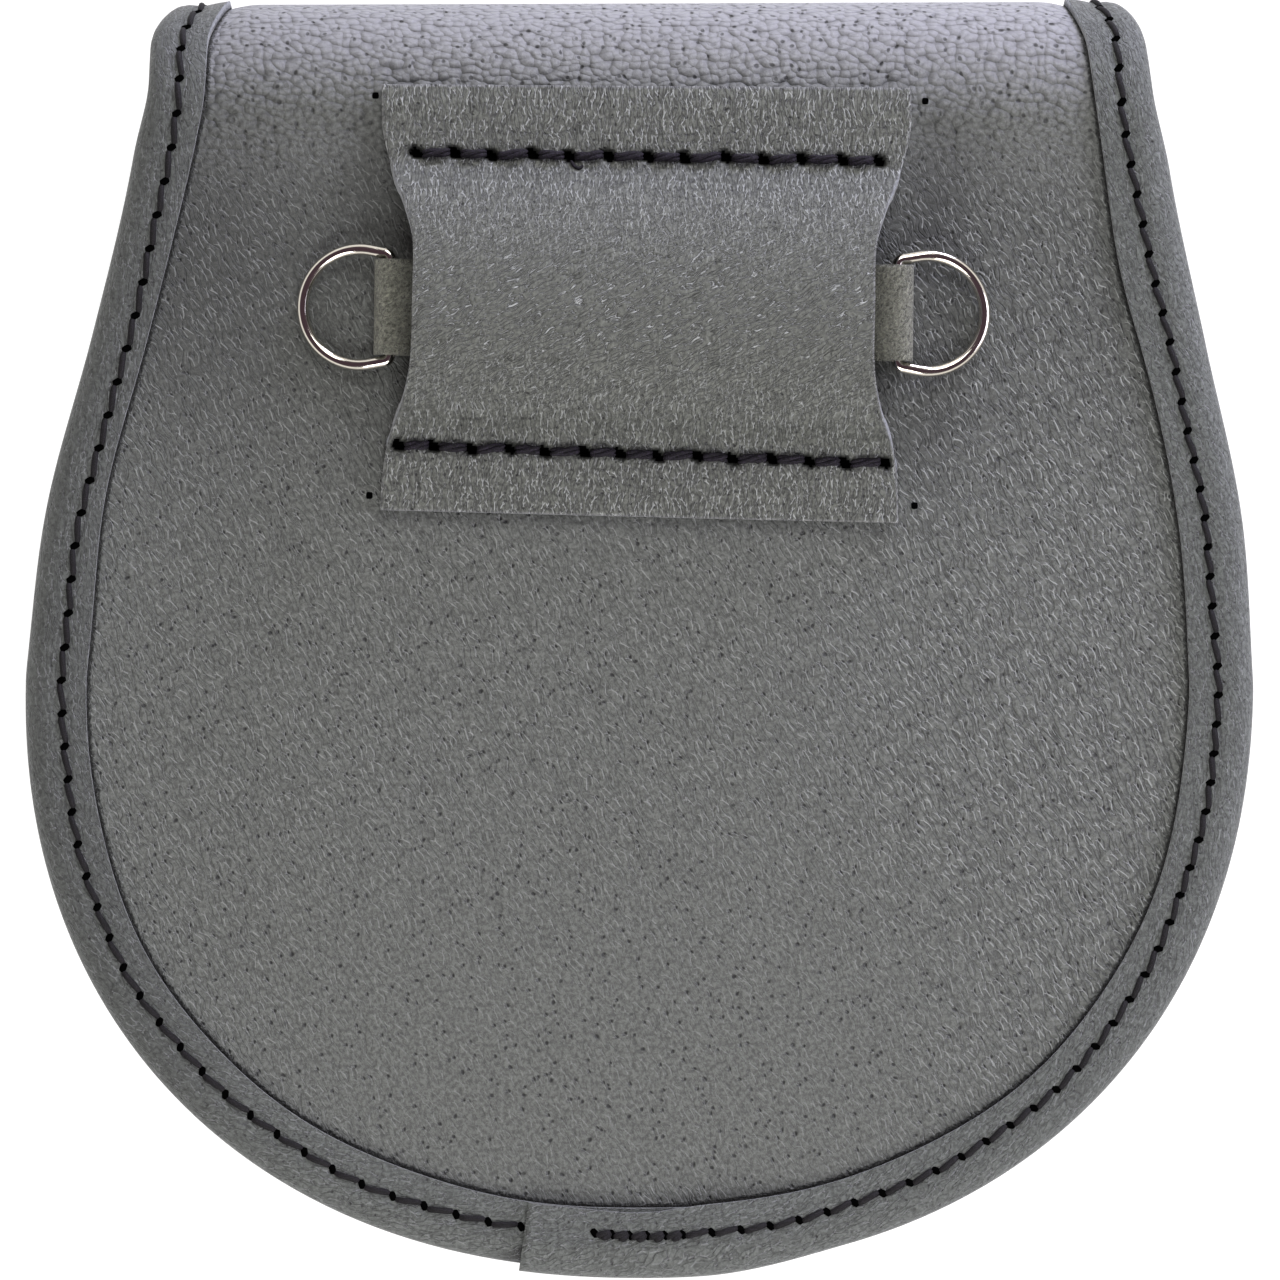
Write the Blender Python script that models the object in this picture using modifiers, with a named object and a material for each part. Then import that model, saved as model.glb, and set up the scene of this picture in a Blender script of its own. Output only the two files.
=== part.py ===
"""A leather day sporran, lying on its flap with its back up.

+X runs across the back, +Y up to the fold, +Z out of the back. The origin is the middle of the
footprint, on the surface that the flap rests on. Sizes are in metres.

The back and the flap are one leather sheet. A place on it is given by x, across, and s, along
the leather from the crest of the fold: negative down the back, positive down the flap. Depth is
how far a place lies below the crest, seen from the back.
"""

import math
from collections import namedtuple

import bmesh
import bpy
import numpy as np
from mathutils import Vector

MM = 0.001

# The whole pouch, over the binding
WIDTH = 180.2 * MM
HEIGHT = 187.2 * MM
TOP_WIDTH = 144.0 * MM
WIDEST_DEPTH = 99.4 * MM
BODY_DEPTH = 33.0 * MM
ROUNDNESS = 2.2

# Leather thicknesses, and the gap between pieces that touch
SHEET_T = 1.8 * MM
BINDING_T = 1.2 * MM
GUSSET_T = 1.3 * MM
FRONT_T = 1.6 * MM
LOOP_T = 1.5 * MM
STRAP_T = 1.3 * MM
GAP = 0.3 * MM

# The flap
FLAP_DROP = 152.0 * MM
FLAP_WIDTH = 172.0 * MM
FLAP_WIDEST_DEPTH = 84.0 * MM
FLAP_RIM_RISE = 1.8 * MM
FLAP_CLEARANCE = 2.2 * MM
DOME_RAMP = 22.0 * MM

# The fold's corners are drawn in by the binding
WAIST = 3.6 * MM
WAIST_REACH = 13.5 * MM

# The binding's legs, how far its round nose is drawn on to the edge, and its overlap at the bottom
BINDING_LEG = 6.9 * MM
NOSE_BITE = 0.6 * MM
OVERLAP_END_X = -15.6 * MM
UNDER_END_X = 10.0 * MM
LIFT_RAMP = 9.0 * MM
STACK_RAMP = 12.0 * MM

# The gusset and the front panel
GUSSET_TOP_DEPTH = 23.0 * MM
WALL_INSET = 9.5 * MM
WALL_BOW = 1.2 * MM
GUSSET_BEND = 2.2 * MM
FRONT_FLANGE = 7.0 * MM
MOUTH_DEPTH = 27.0 * MM

# The back's gentle crown
BACK_CROWN = 1.4 * MM
CROWN_RAMP = 38.0 * MM
RIM_BAND = 9.5 * MM

# The belt loop, with depths below the top of the pouch at its left and right edge
LOOP_TOP_LEFT = 13.3 * MM
LOOP_TOP_RIGHT = 13.2 * MM
LOOP_BOTTOM_LEFT = 75.0 * MM
LOOP_BOTTOM_RIGHT = 76.1 * MM
LOOP_HALF_WIDTH = 38.4 * MM
LOOP_ARCH = 10.4 * MM
LOOP_ARCH_FULLNESS = 2.5
LOOP_TOP_SEAM = 0.157
LOOP_BOTTOM_SEAM = 0.865
LOOP_SEAM_EASE = 0.125

# The strap and its rings
STRAP_DEPTH = 45.4 * MM
STRAP_WIDTH = 14.2 * MM
STRAP_REACH = 39.4 * MM
EYE_CLEARANCE = 0.2 * MM
EYE_TAPER = 2.6
WIRE = 1.7 * MM
RING_ARC = 16.9 * MM
RING_ARM_SLOPE = math.radians(10)
RING_BAR_OFFSET = 4.6 * MM
RING_CORNER = 1.3 * MM
RING_SIDE_GAP = 0.25 * MM
RING_REST_GAP = 0.4 * MM

# The press stud
STUD_RADIUS = 6.0 * MM
STUD_ABOVE_FLAP_TIP = 36.0 * MM

# Mesh density
COLUMNS = 14
BACK_ROWS = 13
NECK_ROWS = 2
FOLD_ROWS = 14
FLAP_ROWS = 11
DENSE = 400

FlareRow = namedtuple("FlareRow", "depth width")
SIDE_FLARE = (
    FlareRow(0.00, 0.000),
    FlareRow(0.25, 0.225),
    FlareRow(0.50, 0.550),
    FlareRow(0.75, 0.875),
    FlareRow(1.00, 1.000),
)

# Places as shares of the half width and the height, sizes as shares of the height, heights in metres
Dent = namedtuple("Dent", "across down wide tall rise")
BACK_DENTS = (
    Dent(0.55, 0.21, 0.07, 0.16, -0.7 * MM),
    Dent(-0.60, 0.17, 0.07, 0.12, -0.5 * MM),
    Dent(-0.14, 0.49, 0.16, 0.09, 0.6 * MM),
    Dent(0.40, 0.48, 0.08, 0.07, -0.5 * MM),
    Dent(0.10, 0.76, 0.20, 0.12, -0.4 * MM),
)

LoopRow = namedtuple("LoopRow", "down half_width")
LOOP_OUTLINE = (
    LoopRow(0.00, 1.010),
    LoopRow(0.09, 1.010),
    LoopRow(0.18, 0.975),
    LoopRow(0.27, 0.920),
    LoopRow(0.36, 0.883),
    LoopRow(0.50, 0.880),
    LoopRow(0.64, 0.883),
    LoopRow(0.74, 0.910),
    LoopRow(0.84, 0.968),
    LoopRow(0.92, 0.985),
    LoopRow(1.00, 0.990),
)

# Sizes that follow from those above
BACK_STACK = SHEET_T + GAP + GUSSET_T


def nose_reach(stack):
    """How far the binding's nose stands out from the edge of leather that is this thick."""
    return stack / 2 + GAP + BINDING_T - NOSE_BITE


LIFT = BINDING_T + GAP
CREST_Y = HEIGHT / 2 - LIFT
BACK_BOTTOM_Y = -HEIGHT / 2 + nose_reach(BACK_STACK) + LIFT
FOLD_R = (BODY_DEPTH - FLAP_RIM_RISE) / 2
FOLD_Y = CREST_Y - FOLD_R
FOLD_Z = (BODY_DEPTH + FLAP_RIM_RISE) / 2
QUARTER = FOLD_R * math.pi / 2
EYE_INNER_R = WIRE / 2 + EYE_CLEARANCE
EYE_OUTER_R = EYE_INNER_R + STRAP_T

Outline = namedtuple("Outline", "top_half widest_half widest_depth bottom_depth")
BACK_OUTLINE = Outline(
    top_half=TOP_WIDTH / 2 - nose_reach(SHEET_T),
    widest_half=WIDTH / 2 - nose_reach(BACK_STACK),
    widest_depth=WIDEST_DEPTH - LIFT,
    bottom_depth=CREST_Y - BACK_BOTTOM_Y,
)
FLAP_OUTLINE = Outline(
    top_half=TOP_WIDTH / 2 - nose_reach(SHEET_T),
    widest_half=FLAP_WIDTH / 2 - nose_reach(SHEET_T),
    widest_depth=FLAP_WIDEST_DEPTH,
    bottom_depth=FLAP_DROP,
)


def smooth(share):
    """0 to 1, easing in and out."""
    share = min(1.0, max(0.0, share))
    return share * share * (3 - 2 * share)


def through(table, at):
    """A smooth curve through a table's two columns, read at one place."""
    xs = [row[0] for row in table]
    ys = [row[1] for row in table]
    i = min(max(int(np.searchsorted(xs, at, side="right")) - 1, 0), len(xs) - 2)

    def slope(k):
        low, high = max(k - 1, 0), min(k + 1, len(xs) - 1)
        return (ys[high] - ys[low]) / (xs[high] - xs[low])

    span = xs[i + 1] - xs[i]
    t = (at - xs[i]) / span
    return (
        ys[i] * (1 + 2 * t) * (1 - t) ** 2
        + ys[i + 1] * t * t * (3 - 2 * t)
        + span * slope(i) * t * (1 - t) ** 2
        - span * slope(i + 1) * t * t * (1 - t)
    )


def half_width(outline, depth):
    """Half the leather's width at a depth below the crest."""
    if depth <= outline.widest_depth:
        flare = through(SIDE_FLARE, max(depth, 0.0) / outline.widest_depth)
        return outline.top_half + (outline.widest_half - outline.top_half) * flare
    share = (depth - outline.widest_depth) / (outline.bottom_depth - outline.widest_depth)
    return outline.widest_half * max(0.0, 1 - min(share, 1.0) ** ROUNDNESS) ** (1 / ROUNDNESS)


def inset(outline, x, depth):
    """About how far a place lies in from the outline's edge."""
    if depth <= outline.widest_depth:
        return half_width(outline, depth) - abs(x)
    down = (depth - outline.widest_depth) / (outline.bottom_depth - outline.widest_depth)
    across = abs(x) / outline.widest_half
    return outline.widest_half * (1 - (down**ROUNDNESS + across**ROUNDNESS) ** (1 / ROUNDNESS))


def depth_of(s):
    """Depth below the crest of a place s along the leather."""
    beyond = abs(s) - QUARTER
    return FOLD_R + beyond if beyond > 0 else FOLD_R * (1 - math.cos(s / FOLD_R))


def back_s(depth):
    """The place along the leather, on the back, at a depth below the crest."""
    if depth >= FOLD_R:
        return -(QUARTER + depth - FOLD_R)
    return -FOLD_R * math.acos(1 - depth / FOLD_R)


def back_relief(x, depth):
    """How far the back stands out there: its crown and its dents, none of it under the binding."""
    room = inset(BACK_OUTLINE, x, depth) - RIM_BAND
    rise = BACK_CROWN * smooth(room / CROWN_RAMP) * smooth((depth - FOLD_R) / CROWN_RAMP)
    for dent in BACK_DENTS:
        across = (x - dent.across * BACK_OUTLINE.widest_half) / (dent.wide * HEIGHT)
        down = (depth - dent.down * BACK_OUTLINE.bottom_depth) / (dent.tall * HEIGHT)
        rise += dent.rise * math.exp(-across * across - down * down) * smooth(room / DOME_RAMP)
    return rise


def flap_relief(x, depth):
    """How far the flap's face bulges past its rim, so that the pouch rests on it."""
    room = inset(FLAP_OUTLINE, x, depth) - RIM_BAND
    return FLAP_RIM_RISE * smooth(room / DOME_RAMP) * smooth((depth - FOLD_R) / DOME_RAMP)


def sheet_point(x, s, height=0.0):
    """The point at a height over the outer face of the back and flap leather."""
    beyond = abs(s) - QUARTER
    if beyond > 0:
        relief = back_relief(x, depth_of(s)) if s < 0 else flap_relief(x, depth_of(s))
        up = -math.copysign(1.0, s)
        return Vector((x, FOLD_Y - beyond, FOLD_Z + up * (FOLD_R + height + relief)))
    out = FOLD_R + height
    return Vector((x, FOLD_Y + out * math.cos(s / FOLD_R), FOLD_Z - out * math.sin(s / FOLD_R)))


def resampled(line, count):
    """The line, cut to this many even steps."""
    line = np.asarray(line)
    along = np.concatenate([[0], np.cumsum(np.linalg.norm(np.diff(line, axis=0), axis=1))])
    at = np.linspace(0, along[-1], count + 1)
    return np.stack([np.interp(at, along, line[:, k]) for k in range(line.shape[1])], axis=1)


def round_end(outline):
    """The outline's round lower end as (x, depth), from the bottom centre out to the widest place."""
    power = 2 / ROUNDNESS
    height = outline.bottom_depth - outline.widest_depth
    points = []
    for turn in np.linspace(math.pi / 2, 0, DENSE):
        x = outline.widest_half * math.cos(turn) ** power
        points.append((x, outline.widest_depth + height * math.sin(turn) ** power))
    return points


def side_run(outline, sign, low, high):
    """The straighter side as (x, s), from one depth up to a lesser one."""
    depths = np.linspace(low, high, DENSE)
    return [(half_width(outline, d), sign * (QUARTER + d - FOLD_R)) for d in depths]


def edge_half(outline, sign, rows, top):
    """One end of the sheet's right edge as (x, s): its round bottom, then its side up to a depth.

    Returns the run under the corner and the run above it, each in even steps.
    """
    ends = [(x, sign * (QUARTER + depth - FOLD_R)) for x, depth in round_end(outline)]
    corner = DENSE // 2
    lower = resampled(ends[: corner + 1], COLUMNS // 2)
    side = side_run(outline, sign, outline.widest_depth, top)
    upper = resampled(ends[corner:] + side[1:], rows)
    return lower, upper


def fold_run():
    """The right edge over the fold, drawn in at the crest."""
    points = []
    for s in np.linspace(-QUARTER, QUARTER, FOLD_ROWS + 1):
        drawn = WAIST * math.cos(min(1.0, abs(s) / WAIST_REACH) * math.pi / 2) ** 2
        points.append((half_width(BACK_OUTLINE, depth_of(s)) - drawn, s))
    return np.array(points)


BACK_LOWER, BACK_UPPER = edge_half(BACK_OUTLINE, -1, BACK_ROWS, GUSSET_TOP_DEPTH)
BACK_NECK = resampled(side_run(BACK_OUTLINE, -1, GUSSET_TOP_DEPTH, FOLD_R), NECK_ROWS)
FLAP_LOWER, FLAP_UPPER = edge_half(FLAP_OUTLINE, 1, FLAP_ROWS, FOLD_R)
SIDE_EDGE = np.concatenate([BACK_UPPER, BACK_NECK[1:-1], fold_run(), FLAP_UPPER[::-1][1:]])


def mirrored(points):
    return np.asarray(points) * [-1, 1]


def outward(line):
    """The unit vectors that point out of an edge that runs anticlockwise in (x, s)."""
    along = np.gradient(np.asarray(line), axis=0)
    along /= np.linalg.norm(along, axis=1, keepdims=True)
    return np.stack([along[:, 1], -along[:, 0]], axis=1)


def leather(name, colour, roughness=0.6):
    material = bpy.data.materials.new(name)
    material.use_nodes = True
    shader = material.node_tree.nodes["Principled BSDF"]
    shader.inputs["Base Color"].default_value = (*colour, 1)
    shader.inputs["Roughness"].default_value = roughness
    return material


def plated_steel():
    material = leather("nickel_plated_steel", (0.75, 0.73, 0.70), 0.2)
    material.node_tree.nodes["Principled BSDF"].inputs["Metallic"].default_value = 1
    return material


def add_object(name, data, material, collection):
    data.materials.append(material)
    made = bpy.data.objects.new(name, data)
    collection.objects.link(made)
    return made


def add_sheet(name, columns, rows, place, thickness, outwards, material, collection):
    """A leather sheet: a grid of columns and rows, each vertex put where place(i, j) says.

    The grid is the outer face, or the inner face where outwards is set, and Solidify adds the rest.
    """
    bm = bmesh.new()
    bmesh.ops.create_grid(bm, x_segments=columns, y_segments=rows, size=1.0)
    for vertex in bm.verts:
        i = round((vertex.co.x + 1) / 2 * columns)
        j = round((vertex.co.y + 1) / 2 * rows)
        vertex.co = place(i, j)
    mesh = bpy.data.meshes.new(name)
    bm.to_mesh(mesh)
    bm.free()
    mesh.shade_smooth()
    made = add_object(name, mesh, material, collection)
    wall = made.modifiers.new("thickness", "SOLIDIFY")
    wall.thickness = thickness
    wall.offset = 1 if outwards else -1
    wall.use_even_offset = True
    return made


def end_bow(lower, j, rows):
    """How much of the round end's bow the j-th row from that end takes, and the bow itself."""
    share = max(0.0, 1 - j / rows) ** 2
    return share, np.concatenate([mirrored(lower)[::-1], lower[1:]])


def bowed(point, i, share, rim):
    """The point moved by a share of how far the rim leaves the straight line between its ends."""
    straight = rim[0] + (rim[-1] - rim[0]) * i / COLUMNS
    return point + share * (rim[i] - straight)


def add_back_and_flap(material, collection):
    last = len(SIDE_EDGE) - 1

    def place(i, j):
        x, s = SIDE_EDGE[j]
        point = np.array([x * (2 * i / COLUMNS - 1), s])
        share, rim = end_bow(BACK_LOWER, j, BACK_ROWS - 2)
        point = bowed(point, i, share, rim)
        share, rim = end_bow(FLAP_LOWER, last - j, FLAP_ROWS - 2)
        return sheet_point(*bowed(point, i, share, rim))

    return add_sheet("back_and_flap", COLUMNS, last, place, SHEET_T, False, material, collection)


def whole_edge():
    """The sheet's whole edge as (x, s), anticlockwise from the bottom centre of the back."""
    right = np.concatenate([BACK_LOWER, SIDE_EDGE[1:], FLAP_LOWER[::-1][1:]])
    return np.concatenate([right, mirrored(right)[::-1][1:]])


def binding_stations():
    """(x, s, outward x, outward s, lift) along the tape, from its over end round to its under end.

    The tape is laid from its under end, right of the centre, and runs clockwise, so that it comes
    back from the right and lies over its own start.
    """
    edge = whole_edge()[::-1]
    normals = outward(whole_edge())[::-1]
    rows = np.concatenate([edge, normals], axis=1)[:-1]

    def at(x):
        """The row of the bottom edge at x, between the two stations beside it."""
        bottom = np.concatenate([rows[-COLUMNS // 2 :], rows[: COLUMNS // 2 + 1]])
        return np.array([np.interp(-x, -bottom[:, 0], bottom[:, k]) for k in range(4)])

    def on_back(row):
        return row[1] < 0

    start = [at(UNDER_END_X)]
    start += [r for r in rows[: COLUMNS // 2] if on_back(r) and r[0] < UNDER_END_X - GAP]
    middle = list(rows[COLUMNS // 2 : -COLUMNS // 2])
    ramp = UNDER_END_X + GAP + LIFT_RAMP
    end = [r for r in rows[-COLUMNS // 2 :] if r[0] > ramp + GAP]
    end += [at(ramp), at((ramp + UNDER_END_X + GAP) / 2), at(UNDER_END_X + GAP)]
    end += [r for r in [rows[0], at(OVERLAP_END_X / 2), at(OVERLAP_END_X)]]
    stations = [(*row, 0.0) for row in start + middle]
    for row in end:
        stations.append((*row, LIFT * smooth((ramp - row[0]) / LIFT_RAMP)))
    return stations[::-1]


def inner_stack(s):
    """The thickness of leather inside the binding: the gusset's flange is there up to its top."""
    share = smooth((s - back_s(GUSSET_TOP_DEPTH)) / STACK_RAMP)
    return BACK_STACK + (SHEET_T - BACK_STACK) * share


NOSE_STEPS = 6


def add_edge_binding(material, collection):
    stations = binding_stations()
    across = NOSE_STEPS + 2

    def place(i, j):
        x, s, out_x, out_s, lift = stations[j]
        stack = inner_stack(s)
        radius = stack / 2 + GAP + BINDING_T + lift
        if i == 0 or i == across:
            reach = -BINDING_LEG
        else:
            turn = math.pi * (i - 1) / NOSE_STEPS
            reach = radius * math.sin(turn) - NOSE_BITE
        turn = math.pi * min(max(i - 1, 0), NOSE_STEPS) / NOSE_STEPS
        height = radius * math.cos(turn) - stack / 2
        return sheet_point(x + reach * out_x, s + reach * out_s, height)

    return add_sheet(
        "edge_binding", across, len(stations) - 1, place, BINDING_T, False, material, collection
    )


FRONT_RIM_Z = FLAP_RIM_RISE + SHEET_T + FLAP_CLEARANCE
FRONT_FLANGE_Z = FRONT_RIM_Z + FRONT_T + GAP
BACK_FLANGE_Z = BODY_DEPTH - SHEET_T - GAP - GUSSET_T


def pouch_edge():
    """The back's edge below the gusset's top as (x, y), anticlockwise from its top left."""
    right = np.concatenate([BACK_LOWER, BACK_UPPER[1:]])
    edge = np.concatenate([mirrored(right)[::-1], right[1:]])
    edge[:, 1] += QUARTER + FOLD_Y
    return edge


def gusset_section():
    """The gusset's outer face as (inset from the back's edge, z): flange, wall and front flange."""
    bend = GUSSET_BEND
    small = GUSSET_BEND - GUSSET_T
    top, low = BACK_FLANGE_Z, FRONT_FLANGE_Z
    section = [(0.0, top)]
    for turn in np.linspace(0, math.pi / 2, 3):
        inwards = WALL_INSET - small * (1 - math.sin(turn))
        section.append((inwards, top - small * (1 - math.cos(turn))))
    for share in (0.3, 0.7):
        bow = WALL_BOW * math.sin(math.pi * share)
        section.append((WALL_INSET - bow, top - small + (low + bend - top + small) * share))
    for turn in np.linspace(0, math.pi / 2, 4):
        inwards = WALL_INSET + bend * (1 - math.cos(turn))
        section.append((inwards, low + bend * (1 - math.sin(turn))))
    section.append((WALL_INSET + FRONT_FLANGE, low))
    return section


def add_gusset(material, collection):
    edge = pouch_edge()
    out = outward(edge)
    section = gusset_section()

    def place(i, j):
        inwards, z = section[i]
        x, y = edge[j] - inwards * out[j]
        return Vector((x, y, z))

    return add_sheet(
        "gusset", len(section) - 1, len(edge) - 1, place, GUSSET_T, False, material, collection
    )


def add_front_panel(material, collection):
    edge = pouch_edge()
    rim = edge - WALL_INSET * outward(edge)
    half = COLUMNS // 2
    middle = len(rim) // 2
    bottom = rim[middle - half : middle + half + 1]
    right = rim[middle + half :]
    mouth_y = CREST_Y - MOUTH_DEPTH
    right = right[right[:, 1] < mouth_y - GAP]
    mouth_x = np.interp(mouth_y, rim[middle:, 1], rim[middle:, 0])
    side = np.concatenate([right, [(mouth_x, mouth_y)]])
    rows = len(side) - 1

    def place(i, j):
        x, y = side[j]
        point = np.array([x * (2 * i / COLUMNS - 1), y])
        share = max(0.0, 1 - j / (rows - 2)) ** 2
        x, y = bowed(point, i, share, bottom)
        return Vector((x, y, FRONT_RIM_Z - flap_relief(x, CREST_Y - y)))

    made = add_sheet("front_panel", COLUMNS, rows, place, FRONT_T, False, material, collection)
    made.data.flip_normals()
    return made


def loop_height(down):
    """How high the belt loop's under face stands over the back, at a share of the way down."""
    share = (down - LOOP_TOP_SEAM) / (LOOP_BOTTOM_SEAM - LOOP_TOP_SEAM)
    if not 0 < share < 1:
        return GAP
    arch = 1 - abs(2 * share - 1) ** LOOP_ARCH_FULLNESS
    return GAP + LOOP_ARCH * arch * smooth(min(share, 1 - share) / LOOP_SEAM_EASE)


LOOP_COLUMNS = 6
LOOP_ROWS = 24


def add_belt_loop(material, collection):
    def place(i, j):
        down = 1 - j / LOOP_ROWS
        across = 2 * i / LOOP_COLUMNS - 1
        x = across * LOOP_HALF_WIDTH * through(LOOP_OUTLINE, down)
        lean = (1 + across) / 2
        top = LOOP_TOP_LEFT + (LOOP_TOP_RIGHT - LOOP_TOP_LEFT) * lean
        bottom = LOOP_BOTTOM_LEFT + (LOOP_BOTTOM_RIGHT - LOOP_BOTTOM_LEFT) * lean
        depth = top + (bottom - top) * down - LIFT
        return sheet_point(x, back_s(depth), loop_height(down))

    return add_sheet(
        "belt_loop", LOOP_COLUMNS, LOOP_ROWS, place, LOOP_T, True, material, collection
    )


STRAP_Y = HEIGHT / 2 - STRAP_DEPTH
BAR_X = STRAP_REACH - EYE_OUTER_R
EYE_STEPS = 16
STRAP_STEPS = 10


def back_face_z(x):
    """The back's outer face on the strap's centre line."""
    return BODY_DEPTH + back_relief(x, CREST_Y - STRAP_Y)


def bar_z(side):
    """The height of a ring's bar, -1 for the left ring and 1 for the right one."""
    return back_face_z(side * BAR_X) + GAP + EYE_OUTER_R


def ring_inner_half():
    """Half the room between the ring's arms, at its bar."""
    arc = RING_ARC / 2
    arm_y = arc * math.cos(RING_ARM_SLOPE)
    arm_y -= math.tan(RING_ARM_SLOPE) * (RING_BAR_OFFSET - arc * math.sin(RING_ARM_SLOPE))
    return arm_y - WIRE / 2 / math.cos(RING_ARM_SLOPE)


def strap_outline():
    """The strap's side view as (x, height over the back): flat below, thicker round each eye.

    Its two layers part at EYE_TAPER eye radii from the bar.
    """
    points = []
    for turn in np.linspace(-math.pi / 2, math.pi / 2, EYE_STEPS // 2 + 1):
        points.append((BAR_X + EYE_OUTER_R * math.cos(turn), EYE_OUTER_R * (1 + math.sin(turn))))
    neck = BAR_X - EYE_TAPER * EYE_OUTER_R
    points.append(((BAR_X + neck) / 2, EYE_OUTER_R + STRAP_T))
    top = [(x, 2 * STRAP_T) for x in np.linspace(neck, -neck, STRAP_STEPS)]
    left = [(-x, height) for x, height in reversed(points)]
    floor = [(x, 0.0) for x in np.linspace(-neck, neck, STRAP_STEPS)]
    return points + top + left + floor


def add_poly(curve, points):
    line = curve.splines.new("POLY")
    line.points.add(len(points) - 1)
    for point, co in zip(line.points, points):
        point.co = (*co, *([0.0] * (3 - len(co))), 1.0)
    line.use_cyclic_u = True


def add_ring_strap(material, collection):
    curve = bpy.data.curves.new("ring_strap_side", "CURVE")
    curve.dimensions = "2D"
    curve.fill_mode = "BOTH"
    curve.extrude = 0.5
    add_poly(curve, strap_outline())
    for side in (-1, 1):
        turns = [math.tau * k / EYE_STEPS for k in range(EYE_STEPS)]
        eye = [
            (side * BAR_X + EYE_INNER_R * math.cos(t), EYE_OUTER_R + EYE_INNER_R * math.sin(t))
            for t in turns
        ]
        add_poly(curve, eye)
    drawn = bpy.data.objects.new("ring_strap_side", curve)
    collection.objects.link(drawn)
    bpy.context.view_layer.update()
    graph = bpy.context.evaluated_depsgraph_get()
    mesh = bpy.data.meshes.new_from_object(drawn.evaluated_get(graph))
    bpy.data.objects.remove(drawn)
    eye_width = 2 * (ring_inner_half() - RING_SIDE_GAP)
    bm = bmesh.new()
    bm.from_mesh(mesh)
    bmesh.ops.remove_doubles(bm, verts=bm.verts, dist=0.01 * MM)
    for vertex in bm.verts:
        x, height, side = vertex.co
        near_eye = smooth((abs(x) - BAR_X + 2 * EYE_OUTER_R) / EYE_OUTER_R)
        width = STRAP_WIDTH + (eye_width - STRAP_WIDTH) * near_eye
        face = back_face_z(math.copysign(min(abs(x), BAR_X), x))
        vertex.co = Vector((x, STRAP_Y - 2 * side * width / 2, face + GAP + height))
    bm.to_mesh(mesh)
    bm.free()
    mesh.name = "ring_strap"
    mesh.materials.clear()
    return add_object("ring_strap", mesh, material, collection)


def ring_path():
    """The ring's wire round its middle, with its bar on the Y axis and its arc towards -X."""
    arc, slope, corner = RING_ARC / 2, RING_ARM_SLOPE, RING_CORNER
    upper = []
    for turn in np.linspace(math.pi, math.pi / 2 - slope, 11):
        upper.append((arc * math.cos(turn), arc * math.sin(turn)))
    centre_x = RING_BAR_OFFSET - corner
    arm_y = upper[-1][1] - math.tan(slope) * (centre_x - upper[-1][0])
    centre_y = arm_y - corner / math.cos(slope)
    for turn in np.linspace(math.pi / 2 - slope, 0, 5):
        upper.append((centre_x + corner * math.cos(turn), centre_y + corner * math.sin(turn)))
    lower = [(x, -y) for x, y in reversed(upper[1:])]
    return [(x - RING_BAR_OFFSET, y, 0.0) for x, y in upper + lower]


def add_ring(name, side, material, collection):
    """A D-ring on its bar in the strap's eye, lying back on the leather. Its origin is on its bar."""
    curve = bpy.data.curves.new(name, "CURVE")
    curve.dimensions = "3D"
    curve.bevel_depth = WIRE / 2
    curve.bevel_resolution = 4
    add_poly(curve, [(-side * x, y, z) for x, y, z in ring_path()])
    ring = add_object(name, curve, material, collection)
    reach = RING_ARC / 2 + RING_BAR_OFFSET
    rest_z = back_face_z(side * (BAR_X + reach)) + RING_REST_GAP + WIRE / 2
    ring.location = (side * BAR_X, STRAP_Y, bar_z(side))
    ring.rotation_euler = (0, side * math.asin((bar_z(side) - rest_z) / reach), 0)
    return ring


def add_press_stud(material, collection):
    thickness = FLAP_CLEARANCE - 2 * GAP
    bpy.ops.mesh.primitive_cylinder_add(
        vertices=24,
        radius=STUD_RADIUS,
        depth=thickness,
        location=(0, CREST_Y - FLAP_DROP + STUD_ABOVE_FLAP_TIP, SHEET_T + GAP + thickness / 2),
    )
    stud = bpy.context.active_object
    for home in list(stud.users_collection):
        home.objects.unlink(stud)
    collection.objects.link(stud)
    stud.name = stud.data.name = "press_stud"
    stud.data.materials.append(material)
    return stud


def main():
    for old in list(bpy.data.objects):
        bpy.data.objects.remove(old)
    pouch = bpy.data.collections.new("sporran_pouch")
    bpy.context.scene.collection.children.link(pouch)
    grained = leather("grained_leather", (0.165, 0.165, 0.155))
    smooth_tape = leather("binding_leather", (0.14, 0.14, 0.135))
    steel = plated_steel()
    add_back_and_flap(grained, pouch)
    add_edge_binding(smooth_tape, pouch)
    add_gusset(grained, pouch)
    add_front_panel(grained, pouch)
    add_belt_loop(grained, pouch)
    add_ring_strap(smooth_tape, pouch)
    add_ring("ring_left", -1, steel, pouch)
    add_ring("ring_right", 1, steel, pouch)
    add_press_stud(steel, pouch)


main()
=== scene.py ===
"""The dressed leather day sporran, lying on its flap with its back up.

Places on the back-and-flap leather are given by x, across, and s, along the leather from the crest
of the fold: negative down the back, positive down the flap. Lengths are in metres, and the grain
patterns read a UV map in millimetres that follows the leather.
"""

import logging
import math
from dataclasses import dataclass, field
from enum import Enum
from functools import partial
from typing import Callable, Sequence

import bmesh
import bpy
import numpy as np
from mathutils import Matrix, Vector
from mathutils.kdtree import KDTree


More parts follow.
